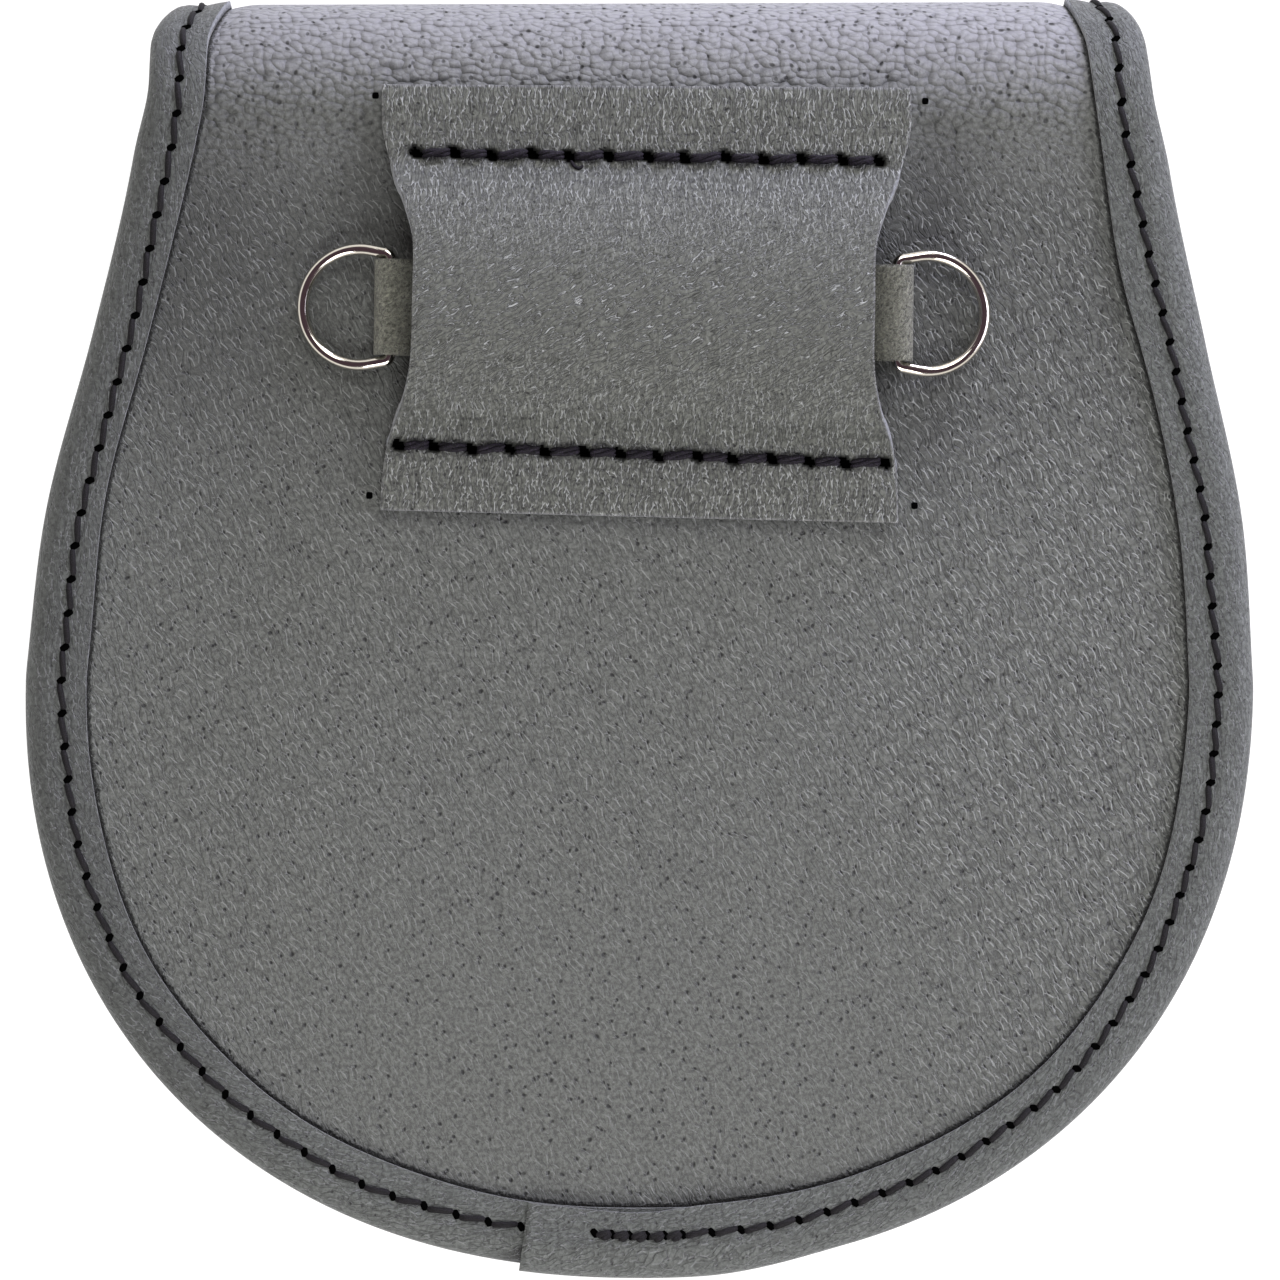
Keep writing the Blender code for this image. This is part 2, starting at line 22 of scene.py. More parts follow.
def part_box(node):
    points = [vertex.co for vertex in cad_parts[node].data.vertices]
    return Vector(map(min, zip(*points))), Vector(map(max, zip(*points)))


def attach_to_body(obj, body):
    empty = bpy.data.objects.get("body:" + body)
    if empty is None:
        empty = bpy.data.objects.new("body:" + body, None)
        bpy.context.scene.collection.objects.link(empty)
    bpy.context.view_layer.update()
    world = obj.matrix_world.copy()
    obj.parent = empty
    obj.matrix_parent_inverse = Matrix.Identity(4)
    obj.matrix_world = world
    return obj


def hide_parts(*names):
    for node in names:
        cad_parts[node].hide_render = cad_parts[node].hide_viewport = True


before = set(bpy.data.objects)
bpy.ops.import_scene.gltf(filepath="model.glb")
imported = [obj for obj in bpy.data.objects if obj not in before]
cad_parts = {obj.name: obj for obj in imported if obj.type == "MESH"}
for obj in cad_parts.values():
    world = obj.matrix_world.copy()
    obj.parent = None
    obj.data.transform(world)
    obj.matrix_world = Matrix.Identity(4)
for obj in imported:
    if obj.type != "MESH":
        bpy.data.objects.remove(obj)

LOG = logging.getLogger("sporran")
MM = 0.001
Socket = bpy.types.NodeSocket
UP = Vector((0, 0, 1))
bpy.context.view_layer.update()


class Body(Enum):
    """The rigid bodies that pieces ride on."""

    POUCH = "pouch"
    LEFT_RING = "left_d_ring"
    RIGHT_RING = "right_d_ring"


class Side(Enum):
    """Left or right, as the back is seen."""

    LEFT = -1
    RIGHT = 1


def smooth(share: float) -> float:
    """Ease a share from 0 to 1 in and out."""
    share = min(1.0, max(0.0, share))
    return share * share * (3 - 2 * share)


def blend(start: float, stop: float, share: float) -> float:
    """The value this share of the way from start to stop."""
    return start + (stop - start) * share


def bell(offset: float, width: float) -> float:
    """A smooth hump of height 1 that is about this wide."""
    return math.exp(-((offset / width) ** 2))


def waver(waves: Sequence[tuple[float, float, float]], at: float) -> float:
    """The sum there of slow waves, each given as its height, length and shift."""
    return sum(height * math.sin(at / length + shift) for height, length, shift in waves)


def through(table: Sequence[Sequence[float]], at: float) -> float:
    """Read a smooth curve through a table of rows.

    Args:
        table: rows whose first two columns are the place and the value.
        at: the place to read.

    Returns:
        The value there.
    """
    xs = [row[0] for row in table]
    ys = [row[1] for row in table]
    i = min(max(int(np.searchsorted(xs, at, side="right")) - 1, 0), len(xs) - 2)

    def slope(k: int) -> float:
        """The curve's slope at a row."""
        low, high = max(k - 1, 0), min(k + 1, len(xs) - 1)
        return (ys[high] - ys[low]) / (xs[high] - xs[low])

    span = xs[i + 1] - xs[i]
    t = (at - xs[i]) / span
    return (
        ys[i] * (1 + 2 * t) * (1 - t) ** 2
        + ys[i + 1] * t * t * (3 - 2 * t)
        + span * slope(i) * t * (1 - t) ** 2
        - span * slope(i + 1) * t * t * (1 - t)
    )


def lengths_along(line: np.ndarray) -> np.ndarray:
    """How far along a line each of its points lies."""
    return np.concatenate([[0], np.cumsum(np.linalg.norm(np.diff(line, axis=0), axis=1))])


def resampled(line: Sequence[Sequence[float]], count: int) -> np.ndarray:
    """Cut a line to even steps.

    Args:
        line: its points.
        count: how many steps to cut it to.

    Returns:
        The count + 1 points between its ends.
    """
    line = np.asarray(line)
    along = lengths_along(line)
    at = np.linspace(0, along[-1], count + 1)
    return np.stack([np.interp(at, along, line[:, k]) for k in range(line.shape[1])], axis=1)


@dataclass(frozen=True)
class Ramp:
    """An eased rise from 0 to 1: where it begins, and its length, negative where it falls."""

    start: float
    length: float

    def at(self, place: float) -> float:
        """How far up the ramp a place is."""
        return smooth((place - self.start) / self.length)


@dataclass(frozen=True)
class Outline:
    """One end of the leather sheet: half widths, and the depths of its widest place and end."""

    top_half: float
    widest_half: float
    widest_depth: float
    bottom_depth: float


@dataclass(frozen=True)
class Dent:
    """A hollow or a swelling in the back: its place, its reach and its height in metres."""

    across: float
    down: float
    wide: float
    tall: float
    rise: float


@dataclass
class PouchShape:
    """The outline and side view of the pouch, which all its leather follows."""

    width: float = 2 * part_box("edge_binding")[1][0]
    height: float = 2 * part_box("edge_binding")[1][1]
    top_width: float = 144.0 * MM
    widest_depth: float = 99.4 * MM
    body_depth: float = 33.0 * MM
    roundness: float = 2.2
    sheet: float = 1.8 * MM
    tape: float = 1.1 * MM
    ply_gap: float = 0.05 * MM
    wall: float = 1.3 * MM
    front: float = 1.6 * MM
    gap: float = 0.3 * MM
    flap_drop: float = 152.0 * MM
    flap_width: float = 172.0 * MM
    flap_widest_depth: float = 84.0 * MM
    flap_rise: float = 1.8 * MM
    flap_clearance: float = 2.2 * MM
    dome_ramp: float = 22.0 * MM
    waist: float = 2.0 * MM
    waist_reach: float = 13.5 * MM
    tape_leg: float = 6.9 * MM
    nose_bite: float = 0.6 * MM
    gusset_top: float = 23.0 * MM
    stack_ramp: float = 12.0 * MM
    crown: float = 1.4 * MM
    crown_ramp: float = 38.0 * MM
    rim_band: float = 9.5 * MM
    lean: float = 0.0075
    crest_reach: float = 16.0 * MM
    crest_raise: float = 0.4 * MM
    crest_tilt: float = 0.015
    crest_bulge: float = 1.5 * MM
    crest_bulge_half: float = 66.0 * MM
    crest_bulge_ramp: float = 9.0 * MM
    left_reach: float = 85.0 * MM
    left_hollow: float = 1.1 * MM
    left_hollow_y: float = 46.0 * MM
    left_hollow_tall: float = 36.0 * MM
    left_flare: float = 1.6 * MM
    flare: tuple = ((0.0, 0.0), (0.25, 0.225), (0.5, 0.55), (0.75, 0.875), (1.0, 1.0))
    dents: tuple = (
        Dent(0.55, 0.21, 0.07, 0.16, -0.7 * MM),
        Dent(-0.60, 0.17, 0.07, 0.12, -0.5 * MM),
        Dent(-0.14, 0.49, 0.16, 0.09, 0.6 * MM),
        Dent(0.40, 0.48, 0.08, 0.07, -0.5 * MM),
        Dent(0.10, 0.76, 0.20, 0.12, -0.4 * MM),
    )

    def __post_init__(self) -> None:
        """Work out the sizes that follow from the others."""
        self.lift = self.tape + self.ply_gap
        self.stack = self.sheet + self.gap + self.wall
        self.crest_y = self.height / 2 - self.lift
        bottom_y = -self.height / 2 + self.nose(self.stack) + self.lift
        self.fold_r = (self.body_depth - self.flap_rise) / 2
        self.fold_y = self.crest_y - self.fold_r
        self.fold_z = (self.body_depth + self.flap_rise) / 2
        self.quarter = self.fold_r * math.pi / 2
        self.back = Outline(
            self.top_width / 2 - self.nose(self.sheet),
            self.width / 2 - self.nose(self.stack),
            self.widest_depth - self.lift,
            self.crest_y - bottom_y,
        )
        self.flap = Outline(
            self.top_width / 2 - self.nose(self.sheet),
            self.flap_width / 2 - self.nose(self.sheet),
            self.flap_widest_depth,
            self.flap_drop,
        )

    def nose(self, stack: float) -> float:
        """How far the binding's nose stands out from leather this thick."""
        return stack / 2 + self.gap + self.tape - self.nose_bite

    def half_width(self, outline: Outline, depth: float) -> float:
        """Half the leather's width at a depth below the crest."""
        if depth <= outline.widest_depth:
            flare = through(self.flare, max(depth, 0.0) / outline.widest_depth)
            return blend(outline.top_half, outline.widest_half, flare)
        share = (depth - outline.widest_depth) / (outline.bottom_depth - outline.widest_depth)
        rest = max(0.0, 1 - min(share, 1.0) ** self.roundness)
        return outline.widest_half * rest ** (1 / self.roundness)

    def inset(self, outline: Outline, x: float, depth: float) -> float:
        """About how far a place lies in from the outline's edge."""
        if depth <= outline.widest_depth:
            return self.half_width(outline, depth) - abs(x)
        down = (depth - outline.widest_depth) / (outline.bottom_depth - outline.widest_depth)
        across = abs(x) / outline.widest_half
        reach = (down**self.roundness + across**self.roundness) ** (1 / self.roundness)
        return outline.widest_half * (1 - reach)

    def depth_of(self, s: float) -> float:
        """Depth below the crest of a place s along the leather."""
        beyond = abs(s) - self.quarter
        if beyond > 0:
            return self.fold_r + beyond
        return self.fold_r * (1 - math.cos(s / self.fold_r))

    def back_s(self, depth: float) -> float:
        """The place along the leather, on the back, at a depth below the crest."""
        if depth >= self.fold_r:
            return -(self.quarter + depth - self.fold_r)
        return -self.fold_r * math.acos(1 - depth / self.fold_r)

    def back_relief(self, x: float, depth: float) -> float:
        """How far the back stands out there: its crown and its dents."""
        room = self.inset(self.back, x, depth) - self.rim_band
        rise = self.crown * smooth(room / self.crown_ramp)
        rise *= smooth((depth - self.fold_r) / self.crown_ramp)
        for dent in self.dents:
            across = (x - dent.across * self.back.widest_half) / (dent.wide * self.height)
            down = (depth - dent.down * self.back.bottom_depth) / (dent.tall * self.height)
            hump = math.exp(-across * across - down * down)
            rise += dent.rise * hump * smooth(room / self.dome_ramp)
        return rise

    def flap_relief(self, x: float, depth: float) -> float:
        """How far the flap's face bulges past its rim."""
        room = self.inset(self.flap, x, depth) - self.rim_band
        below = (depth - self.fold_r) / self.dome_ramp
        return self.flap_rise * smooth(room / self.dome_ramp) * smooth(below)

    def point(self, x: float, s: float, height: float = 0.0) -> Vector:
        """The point at a height over the outer face of the back and flap leather."""
        beyond = abs(s) - self.quarter
        if beyond > 0:
            depth = self.depth_of(s)
            relief = self.back_relief(x, depth) if s < 0 else self.flap_relief(x, depth)
            up = -math.copysign(1.0, s)
            y, z = self.fold_y - beyond, self.fold_z + up * (self.fold_r + height + relief)
        else:
            out = self.fold_r + height
            turn = s / self.fold_r
            y, z = self.fold_y + out * math.cos(turn), self.fold_z - out * math.sin(turn)
        return self.settled(Vector((x, y, z)))

    def settled(self, point: Vector) -> Vector:
        """A point moved as the real pouch leans a little and its fold bulges past its binding."""
        crest = smooth((point.y - self.crest_y + self.crest_reach) / self.crest_reach)
        bulge = smooth((self.crest_bulge_half - abs(point.x)) / self.crest_bulge_ramp)
        rise = self.crest_raise + self.crest_tilt * point.x + self.crest_bulge * bulge
        left = smooth(-point.x / self.left_reach)
        hollow = self.left_hollow * bell(point.y - self.left_hollow_y, self.left_hollow_tall)
        shift = self.lean * point.y + left * (hollow - self.left_flare * crest)
        return point + Vector((shift, crest * rise, 0))

    def inner_stack(self, s: float) -> float:
        """The thickness of leather in the binding, with the gusset's flange up to its top."""
        share = smooth((s - self.back_s(self.gusset_top)) / self.stack_ramp)
        return blend(self.stack, self.sheet, share)

    @property
    def front_rim_z(self) -> float:
        """The height of the front panel's outer face along its rim."""
        return self.flap_rise + self.sheet + self.flap_clearance


@dataclass
class SheetEdge:
    """The right edge of the back-and-flap leather as rows of (x, s), at a chosen fineness."""

    shape: PouchShape
    columns: int
    back_rows: int
    neck_rows: int
    fold_rows: int
    flap_rows: int
    dense: int = 600

    def __post_init__(self) -> None:
        """Lay out the edge in its runs."""
        shape = self.shape
        self.back_lower, self.back_upper = self.half(
            shape.back, -1, self.back_rows, shape.gusset_top
        )
        self.flap_lower, self.flap_upper = self.half(shape.flap, 1, self.flap_rows, shape.fold_r)
        neck = resampled(self.side(shape.back, -1, shape.gusset_top, shape.fold_r), self.neck_rows)
        fold = self.fold()
        self.rows = np.concatenate(
            [self.back_upper, neck[1:-1], fold, self.flap_upper[::-1][1:]]
        )

    def side(
        self, outline: Outline, sign: int, low: float, high: float
    ) -> list[tuple[float, float]]:
        """The straighter side, from one depth up to a lesser one."""
        shape = self.shape
        return [
            (shape.half_width(outline, depth), sign * (shape.quarter + depth - shape.fold_r))
            for depth in np.linspace(low, high, self.dense)
        ]

    def half(
        self, outline: Outline, sign: int, rows: int, top: float
    ) -> tuple[np.ndarray, np.ndarray]:
        """One end of the edge: the run under its corner and the run above it.

        Args:
            outline: the end's outline.
            sign: -1 for the back, 1 for the flap.
            rows: the steps above the corner.
            top: the depth at which the upper run stops.

        Returns:
            The two runs, each in even steps.
        """
        shape = self.shape
        power = 2 / shape.roundness
        height = outline.bottom_depth - outline.widest_depth
        ends = []
        for turn in np.linspace(math.pi / 2, 0, self.dense):
            depth = outline.widest_depth + height * math.sin(turn) ** power
            x = outline.widest_half * math.cos(turn) ** power
            ends.append((x, sign * (shape.quarter + depth - shape.fold_r)))
        corner = self.dense // 2
        lower = resampled(ends[: corner + 1], self.columns // 2)
        side = self.side(outline, sign, outline.widest_depth, top)
        return lower, resampled(ends[corner:] + side[1:], rows)

    def fold(self) -> np.ndarray:
        """The edge over the fold, drawn in at the crest."""
        shape = self.shape
        points = []
        for s in np.linspace(-shape.quarter, shape.quarter, self.fold_rows + 1):
            near = min(1.0, abs(s) / shape.waist_reach)
            drawn = shape.waist * math.cos(near * math.pi / 2) ** 2
            points.append((shape.half_width(shape.back, shape.depth_of(s)) - drawn, s))
        return np.array(points)

    def place(self, i: int, j: int) -> tuple[float, float]:
        """The (x, s) of a grid vertex, with the grid's end rows bowed to the round ends."""
        x, s = self.rows[j]
        point = np.array([x * (2 * i / self.columns - 1), s])
        last = len(self.rows) - 1
        point = self.bowed(point, i, max(0.0, 1 - j / (self.back_rows - 2)) ** 2, self.back_lower)
        share = max(0.0, 1 - (last - j) / (self.flap_rows - 2)) ** 2
        return tuple(self.bowed(point, i, share, self.flap_lower))

    def bowed(self, point: np.ndarray, i: int, share: float, lower: np.ndarray) -> np.ndarray:
        """The point moved by a share of the round end's bow."""
        if share == 0:
            return point
        half = self.columns // 2
        x, s = lower[half - i] if i < half else lower[i - half]
        rim = np.array([-x if i < half else x, s])
        corner_x, corner_s = lower[-1]
        straight = np.array([corner_x * (2 * i / self.columns - 1), corner_s])
        return point + share * (rim - straight)

    def around(self) -> np.ndarray:
        """The whole edge, anticlockwise from the bottom centre of the back."""
        right = np.concatenate([self.back_lower, self.rows[1:], self.flap_lower[::-1][1:]])
        return np.concatenate([right, (right * [-1, 1])[::-1][1:]])

    def pouch_edge(self) -> np.ndarray:
        """The back's edge below the gusset's top as (x, y), anticlockwise from its top left."""
        right = np.concatenate([self.back_lower, self.back_upper[1:]])
        edge = np.concatenate([(right * [-1, 1])[::-1], right[1:]])
        edge[:, 1] += self.shape.quarter + self.shape.fold_y
        return edge


def outward(line: np.ndarray) -> np.ndarray:
    """The unit vectors that point out of an anticlockwise edge."""
    along = np.gradient(line, axis=0)
    along /= np.linalg.norm(along, axis=1, keepdims=True)
    return np.stack([along[:, 1], -along[:, 0]], axis=1)


@dataclass
class Spot:
    """One vertex of a leather sheet.

    hide is its place on the leather in millimetres, and marks are the strengths of MARKS there.
    """

    point: Vector
    hide: tuple[float, float]
    marks: dict[str, float] = field(default_factory=dict)


# Of these marks, pit and tuck paint black shade, one paints pools of shade, and one paints light
# on the roll as well as a pale line on cut edges
MARKS = ("crease", "scale", "pore", "pit", "worn", "dye", "tuck")
UNTUCKED = 9.0


def put(name: str, data: bpy.types.ID) -> bpy.types.Object:
    """Put data into the scene as an object."""
    made = bpy.data.objects.new(name, data)
    bpy.context.scene.collection.objects.link(made)
    return made


def new_object(
    name: str, mesh: bpy.types.Mesh, *materials: bpy.types.Material
) -> bpy.types.Object:
    """Put a mesh into the scene with its materials."""
    for material in materials:
        mesh.materials.append(material)
    return put(name, mesh)


def leather_sheet(
    name: str,
    columns: int,
    rows: int,
    spot: Callable[[int, int], Spot],
    thickness: float,
    materials: Sequence[bpy.types.Material],
    grow: int = -1,
    flip: bool = False,
    even: bool = True,
) -> bpy.types.Object:
    """materials: the finish of its faces, of its cut edges, and the painted shade inside its
    holes.
        grow: -1 where the grid is the outer face, 1 where it is the inner one.
        flip: turn the grid's faces over first.
        even: keep the thickness true at bends.

    Returns:
        The object, with its wall from Solidify.
    """
    bm = bmesh.new()
    bmesh.ops.create_grid(bm, x_segments=columns, y_segments=rows, size=1.0)
    layers = {mark: bm.verts.layers.float.new(mark) for mark in MARKS}
    hide = bm.loops.layers.uv.new("hide")
    spots = {}
    for vertex in bm.verts:
        i = round((vertex.co.x + 1) / 2 * columns)
        j = round((vertex.co.y + 1) / 2 * rows)
        here = spot(i, j)
        vertex.co = here.point
        spots[vertex] = here
        for mark, layer in layers.items():
            vertex[layer] = here.marks.get(mark, 0.0)
    for face in bm.faces:
        face.smooth = True
        # Faces deep in an awl hole take the third material, the painted shade inside holes
        if all(spots[vertex].marks.get("pit", 0.0) > 0.5 for vertex in face.verts):
            face.material_index = 2
        for loop in face.loops:
            loop[hide].uv = spots[loop.vert].hide
    if flip:
        bmesh.ops.reverse_faces(bm, faces=bm.faces)
    mesh = bpy.data.meshes.new(name)
    bm.to_mesh(mesh)
    bm.free()
    made = new_object(name, mesh, *materials)
    wall = made.modifiers.new("thickness", "SOLIDIFY")
    wall.thickness = thickness
    wall.offset = grow
    wall.use_even_offset = even
    wall.material_offset_rim = 1
    return made


BLUNTNESS = 6
PROBE = 0.02


def lay_strand(
    bm: bmesh.types.BMesh,
    path: Callable[[float], Vector],
    up: Vector,
    radius: float,
    flatness: float = 1.0,
    sides: int = 8,
    rings: int = 8,
    finish: int = 0,
) -> None:
    """Lay a round-ended strand of thread along a path.

    Args:
        bm: the mesh to add it to.
        path: gives the strand's middle for a share from 0 to 1.
        up: the direction out of the leather.
        radius: half the strand's width.
        flatness: its height over its width.
        sides: faces round it.
        rings: faces along it.
        finish: the number of its material.
    """
    strand = bmesh.new()
    bmesh.ops.create_uvsphere(strand, u_segments=sides, v_segments=rings, radius=1.0)
    for vertex in strand.verts:
        x, y, z = vertex.co
        round_share = math.sqrt(max(0.0, 1 - z * z))
        full = (1 - z**BLUNTNESS) ** 0.5 / round_share if round_share > 1e-4 else 0.0
        t = (z + 1) / 2
        ahead = path(min(1.0, t + PROBE)) - path(max(0.0, t - PROBE))
        beside = ahead.cross(up).normalized()
        over = beside.cross(ahead).normalized()
        middle = path(t)
        vertex.co = middle + beside * (x * full * radius) + over * (y * full * radius * flatness)
    for face in strand.faces:
        face.material_index = finish
    mesh = bpy.data.meshes.new("strand")
    strand.to_mesh(mesh)
    strand.free()
    bm.from_mesh(mesh)
    bpy.data.meshes.remove(mesh)


def finish_mesh(
    name: str, bm: bmesh.types.BMesh, *materials: bpy.types.Material
) -> bpy.types.Object:
    """Turn a bmesh into a smooth object whose faces point outwards."""
    bmesh.ops.recalc_face_normals(bm, faces=bm.faces)
    for face in bm.faces:
        face.smooth = True
    mesh = bpy.data.meshes.new(name)
    bm.to_mesh(mesh)
    bm.free()
    return new_object(name, mesh, *materials)


def attach(
    piece: bpy.types.Object, body: Body, replaces: Sequence[str] = ()
) -> bpy.types.Object:
    """Ride a piece on its body, and hide the nodes that it stands for."""
    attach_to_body(piece, body.value)
    if replaces:
        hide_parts(*replaces)
    LOG.info("%s: %d vertices on %s", piece.name, len(piece.data.vertices), body.value)
    return piece


def linear(colour: str) -> tuple[float, float, float, float]:
    """Turn an sRGB hex colour into the linear colour that a shader takes."""
    channels = [int(colour[k : k + 2], 16) / 255 for k in (1, 3, 5)]
    bent = [c / 12.92 if c <= 0.04045 else ((c + 0.055) / 1.055) ** 2.4 for c in channels]
    return (*bent, 1.0)


def fill(node: bpy.types.Node, inputs: dict) -> None:
    """Give a node's inputs their values, or the sockets that feed them."""
    for key, value in inputs.items():
        if isinstance(value, Socket):
            node.id_data.links.new(value, node.inputs[key])
        else:
            node.inputs[key].default_value = value


def add_node(
    tree: bpy.types.NodeTree,
    kind: str,
    inputs: dict | None = None,
    output: str | int = 0,
    **settings: object,
) -> Socket:
    """Add a node, set it up, and fill or link its inputs.

    Args:
        tree: the node tree.
        kind: the node's type.
        inputs: each input's name or place, with its value or the socket that feeds it.
        output: the output to hand back.
        settings: the node's own properties.

    Returns:
        The output socket.
    """
    node = tree.nodes.new(kind)
    for key, value in settings.items():
        setattr(node, key, value)
    fill(node, inputs or {})
    return node.outputs[output]


def new_material(name: str) -> tuple[bpy.types.Material, bpy.types.Node]:
    """A new material and its Principled shader."""
    material = bpy.data.materials.new(name)
    material.use_nodes = True
    return material, material.node_tree.nodes["Principled BSDF"]


def faded(add: Callable, value: Socket, near: float, far: float) -> Socket:
    """1 up to near, easing to 0 at far."""
    return add(
        "ShaderNodeMapRange",
        {"Value": value, "From Min": near, "From Max": far, "To Min": 1.0, "To Max": 0.0},
        interpolation_type="SMOOTHSTEP",
    )


def mark_of(add: Callable, name: str) -> Socket:
    """How strong the mesh says that a feature is."""
    return add("ShaderNodeAttribute", output="Fac", attribute_type="GEOMETRY", attribute_name=name)


def in_cells(add: Callable, place: Socket, turn: float, size: tuple[float, float]) -> Socket:
    """The place counted in cells of this size, turned by this many degrees."""
    return add(
        "ShaderNodeMapping",
        {"Vector": place, "Rotation": (0, 0, math.radians(turn)), "Scale": (*size, 1)},
        vector_type="TEXTURE",
    )


@dataclass(frozen=True)
class Follicles:
    """Dark pores, each at the fork of a thin pale crease that tails away from it.

    Lengths are in millimetres; turn is the tails' tilt in degrees, and sway in radians how far
    single ones stray from it. scarce holds the chances between which the tails fade out, and
    bare those between which the pores do. taper and core are the shares of a tail's and of a
    pore's size between which they fade.
    """

    cell: tuple[float, float]
    turn: float
    tail: float
    streak: float
    pore: float
    arm: float = 0.5
    fork: float = 0.6
    bend: float = 0.12
    sway: float = 0.35
    line: float = 0.13
    scarce: tuple[float, float] = (0.3, 1.0)
    bare: tuple[float, float] = (0.45, 0.75)
    taper: tuple[float, float] = (0.6, 1.15)
    core: tuple[float, float] = (0.4, 1.25)
    hair: float = 0.02
    spread: float = 0.9
    tall: float = 0.08
    deep: float = 0.16

    def nodes(self, add: Callable, place: Socket, gaps: Socket) -> tuple[Socket, Socket, Socket]:
        """The pale tails, the dark pores, and the height of both."""
        mapped = in_cells(add, place, self.turn, self.cell)
        centre = add(
            "ShaderNodeTexVoronoi", {"Vector": mapped, "Scale": 1.0, "Randomness": self.spread},
            "Position", voronoi_dimensions="2D",
        )
        chance = add("ShaderNodeSeparateColor", {0: centre.node.outputs["Color"]})
        local = add("ShaderNodeVectorMath", {0: mapped, 1: centre}, operation="SUBTRACT")
        local = add("ShaderNodeVectorMath", {0: local, 1: (*self.cell, 0)}, operation="MULTIPLY")
        away = add("ShaderNodeVectorMath", {0: local}, "Value", operation="LENGTH")
        angle = add(
            "ShaderNodeMapRange", {"Value": chance, "To Min": -self.sway, "To Max": self.sway}
        )
        turned = add(
            "ShaderNodeVectorRotate", {"Vector": local, "Angle": angle}, rotation_type="Z_AXIS"
        )
        across = add("ShaderNodeSeparateXYZ", {0: turned})
        along = across.node.outputs["Y"]
        half = (self.tail + self.arm) / 2
        middle = add("ShaderNodeMath", {0: along, 1: half - self.arm}, operation="ADD")
        square = add("ShaderNodeMath", {0: middle, 1: middle}, operation="MULTIPLY")
        bent = add(
            "ShaderNodeMath", {0: square, 1: self.bend, 2: across}, operation="MULTIPLY_ADD"
        )
        bent = add("ShaderNodeMath", {0: bent}, operation="ABSOLUTE")
        arms = add("ShaderNodeMath", {0: along, 1: self.fork}, operation="MULTIPLY")
        arms = add("ShaderNodeMath", {0: arms, 1: 0.0}, operation="MAXIMUM")
        off = add("ShaderNodeMath", {0: bent, 1: arms}, operation="SUBTRACT")
        off = add("ShaderNodeMath", {0: off}, operation="ABSOLUTE")
        streaks = add(
            "ShaderNodeMath", {0: mark_of(add, "crease"), 1: self.streak}, operation="MULTIPLY"
        )
        for part in (
            faded(add, off, self.hair, self.line),
            faded(add, square, *((share * half) ** 2 for share in self.taper)),
            faded(add, chance.node.outputs["Green"], *self.scarce),
        ):
            streaks = add("ShaderNodeMath", {0: streaks, 1: part}, operation="MULTIPLY")
        pores = faded(add, away, *(share * self.pore for share in self.core))
        for part in (mark_of(add, "pore"), faded(add, chance.node.outputs["Blue"], *self.bare)):
            pores = add("ShaderNodeMath", {0: pores, 1: part}, operation="MULTIPLY")
        height = add("ShaderNodeMath", {0: streaks, 1: self.tall}, operation="MULTIPLY")
        height = add(
            "ShaderNodeMath", {0: pores, 1: -self.deep, 2: height}, operation="MULTIPLY_ADD"
        )
        return streaks, pores, height


@dataclass(frozen=True)
class Creases:
    """Long thin raised creases, paler where the finish is rubbed, each in a soft darker valley.

    size is their spacing and their length in millimetres, and turn tilts them in degrees. width
    and reach are the noise levels at which a crease and its valley end; whole and broken are the
    level of a slower noise at which the creases start to break up, and how far past it they end.
    """

    mark: str
    size: tuple[float, float]
    turn: float
    pale: float
    dark: float
    rise: float
    fall: float
    width: float = 0.014
    reach: float = 0.09
    whole: float = 0.42
    broken: float = 0.16

    def nodes(self, add: Callable, place: Socket, gaps: Socket) -> tuple[Socket, Socket, Socket]:
        """The pale creases, the dark valleys, and the height of both."""
        mapped = in_cells(add, place, self.turn, self.size)
        wave = add(
            "ShaderNodeTexNoise", {"Vector": mapped, "Scale": 1.0, "Detail": 1.0},
            noise_dimensions="2D",
        )
        off = add("ShaderNodeMath", {0: wave, 1: 0.5}, operation="SUBTRACT")
        off = add("ShaderNodeMath", {0: off}, operation="ABSOLUTE")
        strength = mark_of(add, self.mark)
        shown = faded(add, gaps, self.whole + self.broken, self.whole)
        crease = faded(add, off, 0.0, self.width)
        for part in (strength, shown):
            crease = add("ShaderNodeMath", {0: crease, 1: part}, operation="MULTIPLY")
        valley = add(
            "ShaderNodeMath", {0: faded(add, off, 0.0, self.reach), 1: strength},
            operation="MULTIPLY",
        )
        height = add("ShaderNodeMath", {0: crease, 1: self.rise}, operation="MULTIPLY")
        height = add(
            "ShaderNodeMath", {0: valley, 1: -self.fall, 2: height}, operation="MULTIPLY_ADD"
        )
        light = add("ShaderNodeMath", {0: crease, 1: self.pale}, operation="MULTIPLY")
        dark = add("ShaderNodeMath", {0: valley, 1: self.dark}, operation="MULTIPLY")
        return light, dark, height


